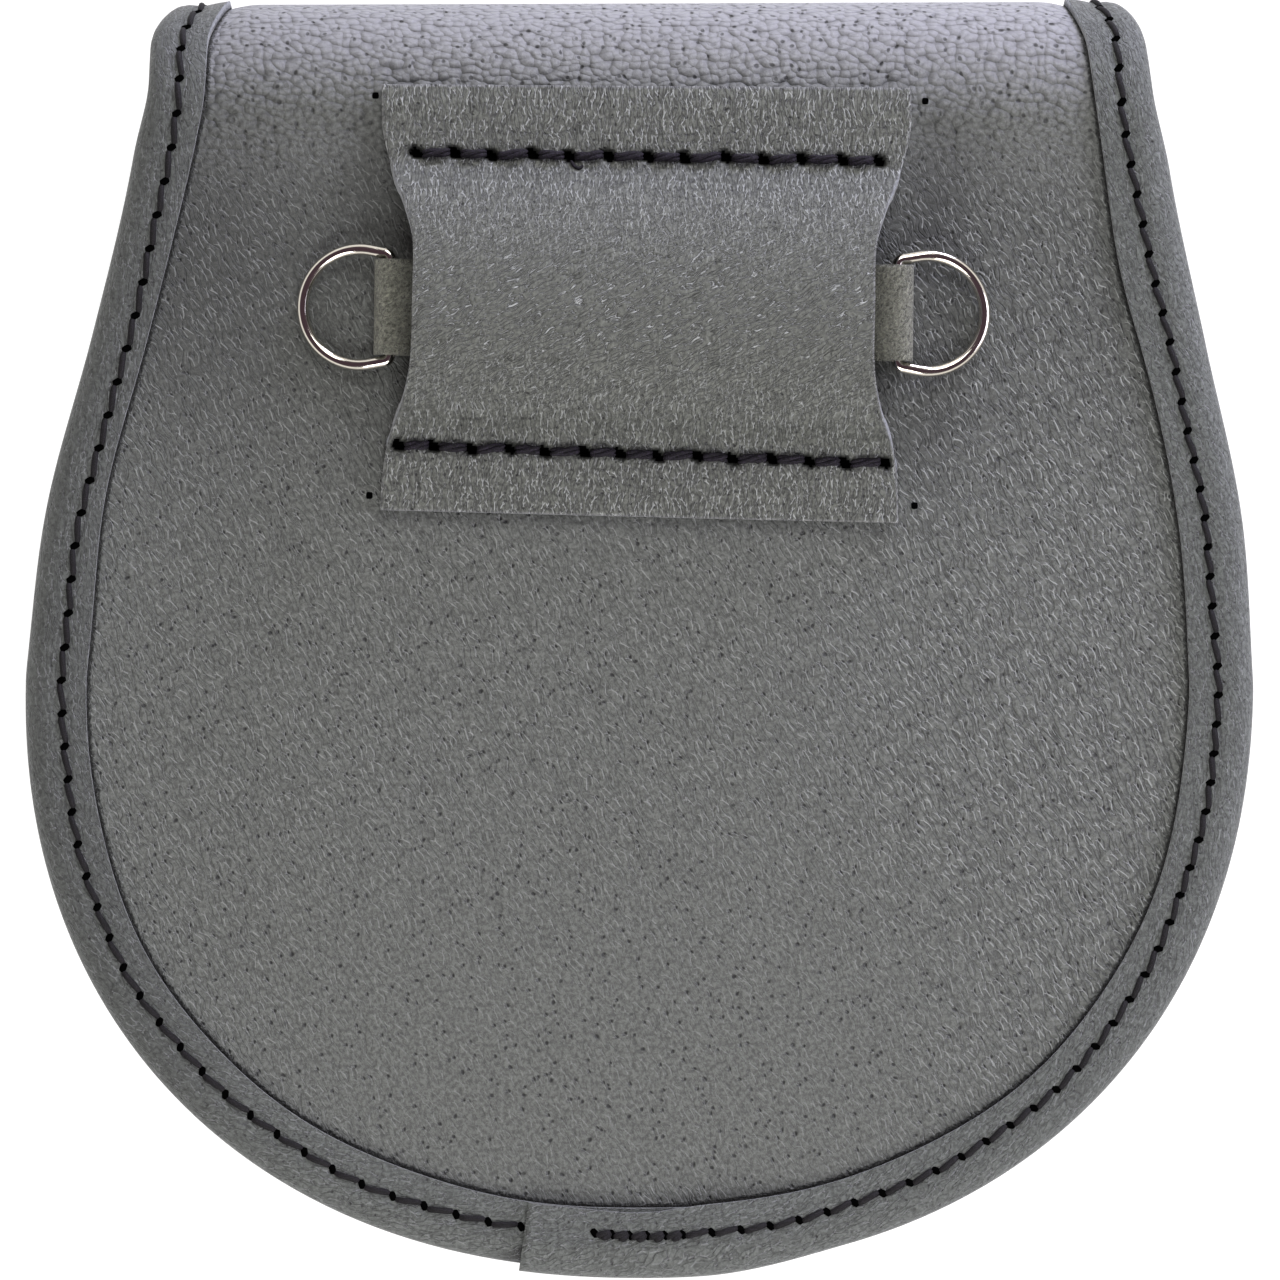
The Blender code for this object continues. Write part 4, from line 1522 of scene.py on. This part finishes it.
@dataclass
class FrontPanel:
    """The front of the pouch, under the flap, sewn to the gusset along its rim."""

    shape: PouchShape
    edge: SheetEdge
    inset: float = 9.5 * MM
    mouth_depth: float = 27.0 * MM
    seam_inset: float = 3.2 * MM
    pitch: float = 4.8 * MM
    thread_radius: float = 0.34 * MM
    thread_ride: float = 0.1 * MM
    thread_sink: float = 0.6 * MM
    flatness: float = 0.85

    def rim(self) -> np.ndarray:
        """The panel's rim as (x, y), anticlockwise from its top left."""
        edge = self.edge.pouch_edge()
        return edge - self.inset * outward(edge)

    def face(self, x: float, y: float) -> Vector:
        """A point of the outer face, which lies parallel to the flap."""
        drop = self.shape.flap_relief(x, self.shape.crest_y - y)
        return Vector((x, y, self.shape.front_rim_z - drop))

    def build(self, palette: Palette) -> None:
        """Make the panel and its seam."""
        rim = self.rim()
        columns = self.edge.columns
        half, middle = columns // 2, len(rim) // 2
        bottom = rim[middle - half : middle + half + 1]
        right = rim[middle + half :]
        mouth_y = self.shape.crest_y - self.mouth_depth
        mouth_x = float(np.interp(mouth_y, rim[middle:, 1], rim[middle:, 0]))
        side = np.concatenate([right[right[:, 1] < mouth_y], [(mouth_x, mouth_y)]])
        rows = len(side) - 1

        def spot(i: int, j: int) -> Spot:
            """One vertex of the panel."""
            x, y = side[j]
            point = np.array([x * (2 * i / columns - 1), y])
            straight = bottom[0] + (bottom[-1] - bottom[0]) * i / columns
            x, y = point + max(0.0, 1 - j / (rows - 2)) ** 2 * (bottom[i] - straight)
            marks = {"crease": 0.6, "scale": 0.2, "pore": 0.8, "tuck": UNTUCKED}
            return Spot(self.face(x, y), (x / MM, y / MM), marks)

        panel = leather_sheet(
            "front_panel_leather", columns, rows, spot, self.shape.front,
            (palette.panel, palette.edge), flip=True,
        )
        attach(panel, Body.POUCH, ["front_panel"])
        self.sew(rim[rim[:, 1] < mouth_y], palette)

    def sew(self, rim: np.ndarray, palette: Palette) -> None:
        """Lay the seam's stitches round the rim."""
        seam = rim - self.seam_inset * outward(rim)
        length = np.linalg.norm(np.diff(seam, axis=0), axis=1).sum()
        holes = resampled(seam, int(length / self.pitch))
        bm = bmesh.new()
        for first, second in zip(holes, holes[1:]):

            def path(share: float, a: np.ndarray = first, b: np.ndarray = second) -> Vector:
                """The thread's middle at a share of the stitch."""
                x, y = a + (b - a) * share
                sunk = self.thread_sink * abs(2 * share - 1) ** 5
                return self.face(x, y) + Vector((0, 0, sunk - self.thread_ride))

            lay_strand(bm, path, -UP, self.thread_radius, self.flatness)
        stitches = finish_mesh("front_panel_stitches", bm, palette.thin_thread)
        attach(stitches, Body.POUCH)


@dataclass(frozen=True)
class HoleRow:
    """A row of awl holes across the belt loop, from its left to its right end."""

    left: tuple[float, float]
    right: tuple[float, float]
    count: int
    stray: tuple[float, float] = (0.22 * MM, 0.16 * MM)

    def depth(self, x: float) -> float:
        """The row's depth below the top of the pouch at x."""
        share = (x - self.left[0]) / (self.right[0] - self.left[0])
        return blend(self.left[1], self.right[1], share)

    def holes(self) -> list[tuple[float, float]]:
        """The holes' places, each a little off the even pitch, as punched by hand."""
        places = []
        for k in range(self.count):
            x = blend(self.left[0], self.right[0], k / (self.count - 1))
            x += self.stray[0] * math.sin(2.4 * k + self.count)
            places.append((x, self.depth(x) + self.stray[1] * math.sin(3.7 * k)))
        return places


@dataclass
class BeltLoop:
    """The waisted panel that the belt passes under, with its two heavy rows of stitches.

    hole is an awl hole's reach across and down, and stitch_ends how many reaches from a hole's
    middle a stitch starts and ends. A bend is its distance from the row, its bow, depth and
    width; folds the middle and spread of the slanting folds, in shares of the height. tail is
    how far aside the loose end starts, its length, its start below the hole, its curl and its
    height. outline gives shares of the half width for shares of the height.
    """

    shape: PouchShape
    thickness: float = 1.5 * MM
    top: tuple[float, float] = (13.3 * MM, 13.2 * MM)
    bottom: tuple[float, float] = (75.0 * MM, 76.1 * MM)
    half: float = 38.4 * MM
    middle: float = -0.6 * MM
    arch: float = 10.4 * MM
    fullness: float = 2.5
    seam_ease: float = 0.125
    columns: int = 190
    rows: int = 160
    hole: tuple[float, float] = (1.1 * MM, 0.95 * MM)
    hole_lean: float = 0.3
    hole_depth: float = 1.3 * MM
    hole_rim: Ramp = Ramp(1.25, -0.6)
    hole_black: Ramp = Ramp(0.05, 0.35)
    sound_rim: int = 3
    folds: tuple = (0.52, 0.2)
    rim_wear: float = 0.3
    prick_radius: float = 0.5 * MM
    prick_length: float = 1.0 * MM
    tail_radius: float = 0.26 * MM
    tail: tuple = (0.3 * MM, 1.9 * MM, 0.6 * MM, 1.2 * MM, 0.22 * MM)
    bends: tuple = (
        (5.2 * MM, -1.6 * MM, 0.16 * MM, 0.9 * MM),
        (-4.6 * MM, 1.2 * MM, 0.1 * MM, 1.1 * MM),
    )
    stitch_ends: tuple = (0.85, 0.6)
    ply_twist: float = 0.45
    rope_squash: float = 0.7
    rope_lift: float = 0.1 * MM
    rope_sink: float = 0.8 * MM
    ply_radius: float = 0.37 * MM
    rope_radius: float = 0.36 * MM
    slant: float = 0.15 * MM
    needle_pricks: tuple = (
        (-40.4 * MM, 14.4 * MM),
        (40.3 * MM, 14.4 * MM),
        (-40.3 * MM, 72.9 * MM),
        (39.8 * MM, 73.5 * MM),
    )
    upper: HoleRow = HoleRow((-34.4 * MM, 22.7 * MM), (33.7 * MM, 23.1 * MM), 13)
    lower: HoleRow = HoleRow((-36.4 * MM, 65.5 * MM), (35.1 * MM, 67.4 * MM), 14)
    outline: tuple = (
        (0.00, 1.010), (0.09, 1.010), (0.18, 0.975), (0.27, 0.920), (0.36, 0.883), (0.50, 0.880),
        (0.64, 0.883), (0.74, 0.910), (0.84, 0.968), (0.92, 0.985), (1.00, 0.990),
    )

    def place(self, across: float, down: float) -> tuple[float, float]:
        """The x and the depth of a place given as shares from left to right and top to bottom."""
        x = self.middle + across * self.half * through(self.outline, down)
        lean = (1 + across) / 2
        return x, blend(blend(*self.top, lean), blend(*self.bottom, lean), down)

    def rise(self, x: float, depth: float) -> float:
        """How high the loop's under face stands over the back."""
        top, bottom = self.upper.depth(x), self.lower.depth(x)
        share = (depth - top) / (bottom - top)
        if not 0 < share < 1:
            return self.shape.gap
        arch = 1 - abs(2 * share - 1) ** self.fullness
        return self.shape.gap + self.arch * arch * smooth(min(share, 1 - share) / self.seam_ease)

    def awl(self, x: float, depth: float, holes: Sequence[tuple[float, float]]) -> float:
        """How far into a hole a place lies, from 0 outside to 1 in its middle."""
        deepest = 0.0
        for hole_x, hole_depth in holes:
            down = (depth - hole_depth) / self.hole[1]
            across = (x - hole_x) / self.hole[0] - self.hole_lean * down
            away = math.sqrt(across * across + down * down)
            deepest = max(deepest, self.hole_rim.at(away))
        return deepest

    def build(self, palette: Palette) -> None:
        """Make the panel and both rows of stitches."""
        holes = self.upper.holes() + self.lower.holes()

        def spot(i: int, j: int) -> Spot:
            """One vertex of the panel."""
            down = 1 - j / self.rows
            x, depth = self.place(2 * i / self.columns - 1, down)
            inner = min(i, self.columns - i) / self.sound_rim
            sunk = self.awl(x, depth, holes) * smooth(inner)
            height = self.rise(x, depth) + self.thickness - sunk * self.hole_depth
            height += self.creases(x, depth)
            point = self.shape.point(x, self.shape.back_s(depth - self.shape.lift), height)
            middle = bell(down - self.folds[0], self.folds[1])
            rim = min(i, self.columns - i, j, self.rows - j)
            marks = {
                "crease": (1 - 0.85 * middle) * (1 - sunk),
                "scale": middle * (1 - sunk),
                "pore": 0.8 * (1 - 0.6 * middle) * (1 - sunk),
                # Painted shade: the awl holes are drawn black, and their deepest faces take the
                # painted hole shade
                "pit": self.hole_black.at(sunk),
                "worn": self.rim_wear if rim == 0 else 0.0,
            }
            return Spot(point, (x / MM, -depth / MM), marks)

        panel = leather_sheet(
            "belt_loop_leather", self.columns, self.rows, spot, self.thickness,
            (palette.loop, palette.edge, palette.bore), even=False,
        )
        attach(panel, Body.POUCH, ["belt_loop"])
        self.prick(palette)
        self.sew("belt_loop_stitches_upper", self.upper, palette)
        self.sew("belt_loop_stitches_lower", self.lower, palette)

    def prick(self, palette: Palette) -> None:
        """The four holes in the back where a marking needle went through, beside the corners, each
        drawn as a flat black strand of painted shade just over the leather.
        """
        bm = bmesh.new()
        for x, depth in self.needle_pricks:
            s = self.shape.back_s(depth - self.shape.lift)

            def path(share: float, x: float = x, s: float = s) -> Vector:
                """The prick's middle at a share of its length."""
                return self.shape.point(x + (share - 0.5) * self.prick_length, s, 0.03 * MM)

            lay_strand(bm, path, UP, self.prick_radius, 0.15)
        attach(finish_mesh("needle_pricks", bm, palette.bore), Body.POUCH)

    def creases(self, x: float, depth: float) -> float:
        """The shallow bends that the loop takes where its arch leaves the seams."""
        across = x / self.half
        fold = 0.0
        for row, (away, bow, deep, wide) in zip((self.upper, self.lower), self.bends):
            fold += deep * bell(depth - row.depth(x) - away - bow * across * across, wide)
        return -fold * smooth((1 - abs(across)) / 0.3)

    def top_face(self, x: float, depth: float, over: float = 0.0) -> Vector:
        """A point over the loop's outer face."""
        height = self.rise(x, depth) + self.thickness + over
        return self.shape.point(x, self.shape.back_s(depth - self.shape.lift), height)

    def sew(self, name: str, row: HoleRow, palette: Palette) -> None:
        """Lay a row of three-ply stitches from hole to hole."""
        bm = bmesh.new()
        holes = row.holes()
        for number, (first, second) in enumerate(zip(holes, holes[1:])):
            start = (first[0] + self.stitch_ends[0] * self.hole[0], first[1] + self.slant)
            end = (second[0] - self.stitch_ends[1] * self.hole[0], second[1] - self.slant)
            for ply in range(3):
                phase = math.tau * ply / 3 + 0.7 * number

                def path(
                    share: float, a: tuple = start, b: tuple = end, phase: float = phase
                ) -> Vector:
                    """The ply's middle at a share of the stitch."""
                    turn = phase + math.tau * self.ply_twist * share
                    x = blend(a[0], b[0], share)
                    depth = blend(a[1], b[1], share) + self.rope_radius * math.cos(turn)
                    over = self.rope_radius * (1 + self.rope_squash * math.sin(turn))
                    sunk = self.rope_sink * abs(2 * share - 1) ** 5
                    return self.top_face(x, depth, over + self.rope_lift - sunk)

                lay_strand(bm, path, UP, self.ply_radius, rings=12)
        if row is self.upper:
            self.loose_end(bm, holes[4])
        stitches = finish_mesh(name, bm, palette.thick_thread)
        attach(stitches, Body.POUCH)

    def loose_end(self, bm: bmesh.types.BMesh, hole: tuple[float, float]) -> None:
        """The short tail of thread that curls out under one stitch."""
        aside, length, below, curl, over = self.tail

        def path(share: float) -> Vector:
            """The tail's middle at a share of its length."""
            x = hole[0] + aside + length * share
            depth = hole[1] + below + curl * math.sin(math.pi * share * 0.8)
            return self.top_face(x, depth, over)

        lay_strand(bm, path, UP, self.tail_radius, rings=10)


@dataclass
class RingStrap:
    """The strap under the belt loop, folded round the bar of a ring at each end."""

    shape: PouchShape
    depth: float = 45.4 * MM
    width: float = 14.2 * MM
    eye_width: float = 14.0 * MM
    reach: float = 39.4 * MM
    thickness: float = 1.3 * MM
    wire: float = 1.7 * MM
    clearance: float = 0.2 * MM
    taper: float = 2.6
    soft_edge: float = 0.1 * MM
    soft_ramp: Ramp = Ramp(0.8, 0.2)
    columns: int = 28

    def __post_init__(self) -> None:
        """Work out the eyes and the bars in them."""
        self.y = self.shape.height / 2 - self.depth
        self.eye_r = self.wire / 2 + self.clearance + self.thickness
        self.bar_x = self.reach - self.eye_r

    def back_z(self, x: float) -> float:
        """The height of the back's outer face on the strap's centre line."""
        return self.shape.body_depth + self.shape.back_relief(x, self.shape.crest_y - self.y)

    def bar_z(self, side: Side) -> float:
        """The height of a ring's bar."""
        return self.back_z(side.value * self.bar_x) + self.shape.gap + self.eye_r

    def outline(self) -> list[tuple[float, float]]:
        """The strap's outer face in side view as (x, height): over the top, right eye first."""
        neck = self.bar_x - self.taper * self.eye_r
        right = [(x, 2 * self.thickness) for x in np.linspace(0.4 * MM, neck, 14)]
        for share in np.linspace(0, 1, 9)[1:-1]:
            lifted = blend(2 * self.thickness, 2 * self.eye_r, smooth(share))
            right.append((blend(neck, self.bar_x, share), lifted))
        for turn in np.linspace(math.pi / 2, -math.pi / 2, 19):
            right.append(
                (self.bar_x + self.eye_r * math.cos(turn), self.eye_r * (1 + math.sin(turn)))
            )
        right += [(x, 0.0) for x in np.linspace(self.bar_x, 0, 22)[1:]]
        left = [(-x, height) for x, height in reversed(right)]
        return right + left[1:]

    def build(self, palette: Palette) -> None:
        """Make the strap and dress it."""
        line = self.outline()
        rows = len(line) - 1

        def spot(i: int, j: int) -> Spot:
            """One vertex of the strap."""
            x, height = line[j]
            near_eye = smooth((abs(x) - self.bar_x + 2 * self.eye_r) / self.eye_r)
            width = blend(self.width, self.eye_width, near_eye)
            base = self.back_z(math.copysign(min(abs(x), self.bar_x), x)) + self.shape.gap
            across = 2 * i / self.columns - 1
            soft = self.soft_edge * self.soft_ramp.at(abs(across))
            middle = self.eye_r if abs(x) > self.bar_x - self.eye_r else self.thickness
            height += math.copysign(soft, middle - height)
            y = self.y - across * width / 2
            return Spot(Vector((x, y, base + height)), (x / MM, across * 7))

        strap = leather_sheet(
            "ring_strap_leather", self.columns, rows, spot, self.thickness,
            (palette.strap, palette.strap),
        )
        attach(strap, Body.POUCH, ["ring_strap"])


@dataclass
class DRing:
    """A D-ring bent from round wire, its bar in the strap's eye, lying back on the leather."""

    strap: RingStrap
    side: Side
    arc_diameter: float = 16.9 * MM
    arm_slope: float = math.radians(10)
    bar_offset: float = 4.6 * MM
    corner: float = 0.95 * MM
    rest_gap: float = 0.4 * MM
    sides: int = 20

    def path(self) -> list[tuple[float, float]]:
        """The middle of the wire, with the bar on the Y axis and the arc towards -X."""
        arc, slope = self.arc_diameter / 2, self.arm_slope
        upper = []
        for turn in np.linspace(math.pi, math.pi / 2 - slope, 40):
            upper.append((arc * math.cos(turn), arc * math.sin(turn)))
        centre_x = self.bar_offset - self.corner
        arm_y = upper[-1][1] - math.tan(slope) * (centre_x - upper[-1][0])
        centre_y = arm_y - self.corner / math.cos(slope)
        for turn in np.linspace(math.pi / 2 - slope, 0, 12):
            upper.append(
                (centre_x + self.corner * math.cos(turn), centre_y + self.corner * math.sin(turn))
            )
        lower = [(x, -y) for x, y in reversed(upper[1:])]
        return [(x - self.bar_offset, y) for x, y in upper + lower]

    def placement(self) -> Matrix:
        """The matrix that puts the ring's bar in its eye and lays the ring down."""
        side = self.side.value
        reach = self.arc_diameter / 2 + self.bar_offset
        bar = Vector((side * self.strap.bar_x, self.strap.y, self.strap.bar_z(self.side)))
        rest = self.strap.back_z(side * (self.strap.bar_x + reach)) + self.rest_gap
        drop = bar.z - rest - self.strap.wire / 2
        return Matrix.Translation(bar) @ Matrix.Rotation(side * math.asin(drop / reach), 4, "Y")

    def build(self, palette: Palette) -> None:
        """Sweep the wire round the ring."""
        points = [Vector((-self.side.value * x, y, 0)) for x, y in self.path()]
        count = len(points)
        frames = []
        for k, point in enumerate(points):
            ahead = (points[(k + 1) % count] - points[k - 1]).normalized()
            turn = Matrix((ahead.cross(UP), UP, ahead)).transposed().to_4x4()
            frames.append(self.placement() @ Matrix.Translation(point) @ turn)
        bm = bmesh.new()
        bmesh.ops.create_circle(
            bm, segments=self.sides, radius=self.strap.wire / 2, matrix=frames[0]
        )
        start = edges = list(bm.edges)
        for before, after in zip(frames, frames[1:]):
            grown = bmesh.ops.extrude_edge_only(bm, edges=edges)["geom"]
            verts = [item for item in grown if isinstance(item, bmesh.types.BMVert)]
            ends = set(verts)
            edges = [
                item for item in grown
                if isinstance(item, bmesh.types.BMEdge) and set(item.verts) <= ends
            ]
            bmesh.ops.transform(bm, matrix=after @ before.inverted(), verts=verts)
        bmesh.ops.bridge_loops(bm, edges=start + edges)
        hand = self.side.name.lower()
        ring = finish_mesh(f"d_ring_{hand}", bm, palette.nickel)
        attach(ring, Body[f"{self.side.name}_RING"], [f"ring_{hand}"])


@dataclass
class Studio:
    """The pale floor, the soft lights and the camera over the back."""

    shape: PouchShape
    lens: float = 250.0
    sensor: float = 36.0
    frame_width: float = 187.5 * MM
    roll: float = math.radians(0.65)
    centre: tuple[float, float] = (0.0, 0.0)
    floor_half: float = 3.0
    floor_gap: float = 0.02 * MM

    def build(self) -> None:
        """Set the studio up."""
        self.floor()
        self.lights()
        self.surroundings()
        self.camera()

    def floor(self) -> None:
        """A plain white floor that is lit from below, so that no shadow shows on it."""
        bm = bmesh.new()
        bmesh.ops.create_grid(
            bm, x_segments=1, y_segments=1, size=self.floor_half,
            matrix=Matrix.Translation((0, 0, -self.floor_gap)),
        )
        # Opal acrylic, lit from below: an even white that takes no shadow
        material, shader = new_material("backlit_white_acrylic")
        fill(shader, {
            "Base Color": linear("#8c8c8c"), "Roughness": 0.9,
            "Emission Color": linear("#ffffff"), "Emission Strength": 0.9,
        })
        floor = finish_mesh("floor", bm, material)

    def lights(self) -> None:
        """Soft boxes: a low cool one past the fold, two that slope down, one at the right."""
        for name, place, size, power, tint in (
            ("fold_softbox", (0.4, 0.85, 0.15), 0.32, 6.5, "#e2e2ff"),
            ("far_softbox", (0.1, 0.7, 0.73), 0.5, 4.7, "#fffffb"),
            ("right_softbox", (0.9, 0.0, 0.45), 0.5, 5.0, "#f0eeff"),
            ("near_softbox", (0.0, -0.7, 0.73), 0.5, 6.8, "#fffffb"),
        ):
            data = bpy.data.lights.new(name, "AREA")
            data.size = size
            data.energy = power
            data.color = linear(tint)[:3]
            lamp = put(name, data)
            lamp.location = place
            lamp.rotation_euler = (-Vector(place)).to_track_quat("-Z", "Y").to_euler()

    def surroundings(self) -> None:
        """White walls under a dim ceiling, which the plated rings and the leather's gloss show."""
        world = bpy.data.worlds.new("white_walls_dim_ceiling")
        bpy.context.scene.world = world
        world.use_nodes = True
        add = partial(add_node, world.node_tree)
        direction = add("ShaderNodeTexCoord", output="Generated")
        height = add("ShaderNodeSeparateXYZ", {0: direction}, "Z")
        ceiling = add(
            "ShaderNodeMapRange", {"Value": height, "From Min": 0.45, "From Max": 0.62},
            interpolation_type="SMOOTHSTEP",
        )
        colour = add(
            "ShaderNodeMix", {0: ceiling, 6: linear("#fffcf6"), 7: linear("#4a3a42")}, 2,
            data_type="RGBA",
        )
        fill(world.node_tree.nodes["Background"], {"Color": colour, "Strength": 1.05})

    def camera(self) -> None:
        """The camera straight over the back, with the photograph's framing and slight roll."""
        data = bpy.data.cameras.new("camera")
        data.lens = self.lens
        data.sensor_width = self.sensor
        data.clip_start = 0.01
        camera = put("camera", data)
        away = self.frame_width * self.lens / self.sensor
        camera.location = (*self.centre, self.shape.body_depth + away)
        camera.rotation_euler = (0, 0, self.roll)
        bpy.context.scene.camera = camera


def main() -> None:
    """Build the sporran and its studio."""
    logging.basicConfig(level=logging.INFO, format="%(name)s %(message)s")
    bpy.context.scene.view_settings.view_transform = "Standard"
    shape = PouchShape()
    edge = SheetEdge(shape, columns=110, back_rows=95, neck_rows=8, fold_rows=36, flap_rows=80)
    palette = Palette()
    binding = EdgeBinding(shape, edge)
    BackAndFlap(shape, edge, binding).build(palette)
    binding.build(palette)
    Gusset(shape, edge).build(palette)
    FrontPanel(shape, edge).build(palette)
    BeltLoop(shape).build(palette)
    strap = RingStrap(shape)
    strap.build(palette)
    DRing(strap, Side.LEFT).build(palette)
    DRing(strap, Side.RIGHT).build(palette)
    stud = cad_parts["press_stud"]
    stud.material_slots[0].material = palette.stud
    Studio(shape).build()


if __name__ == "__main__":
    main()
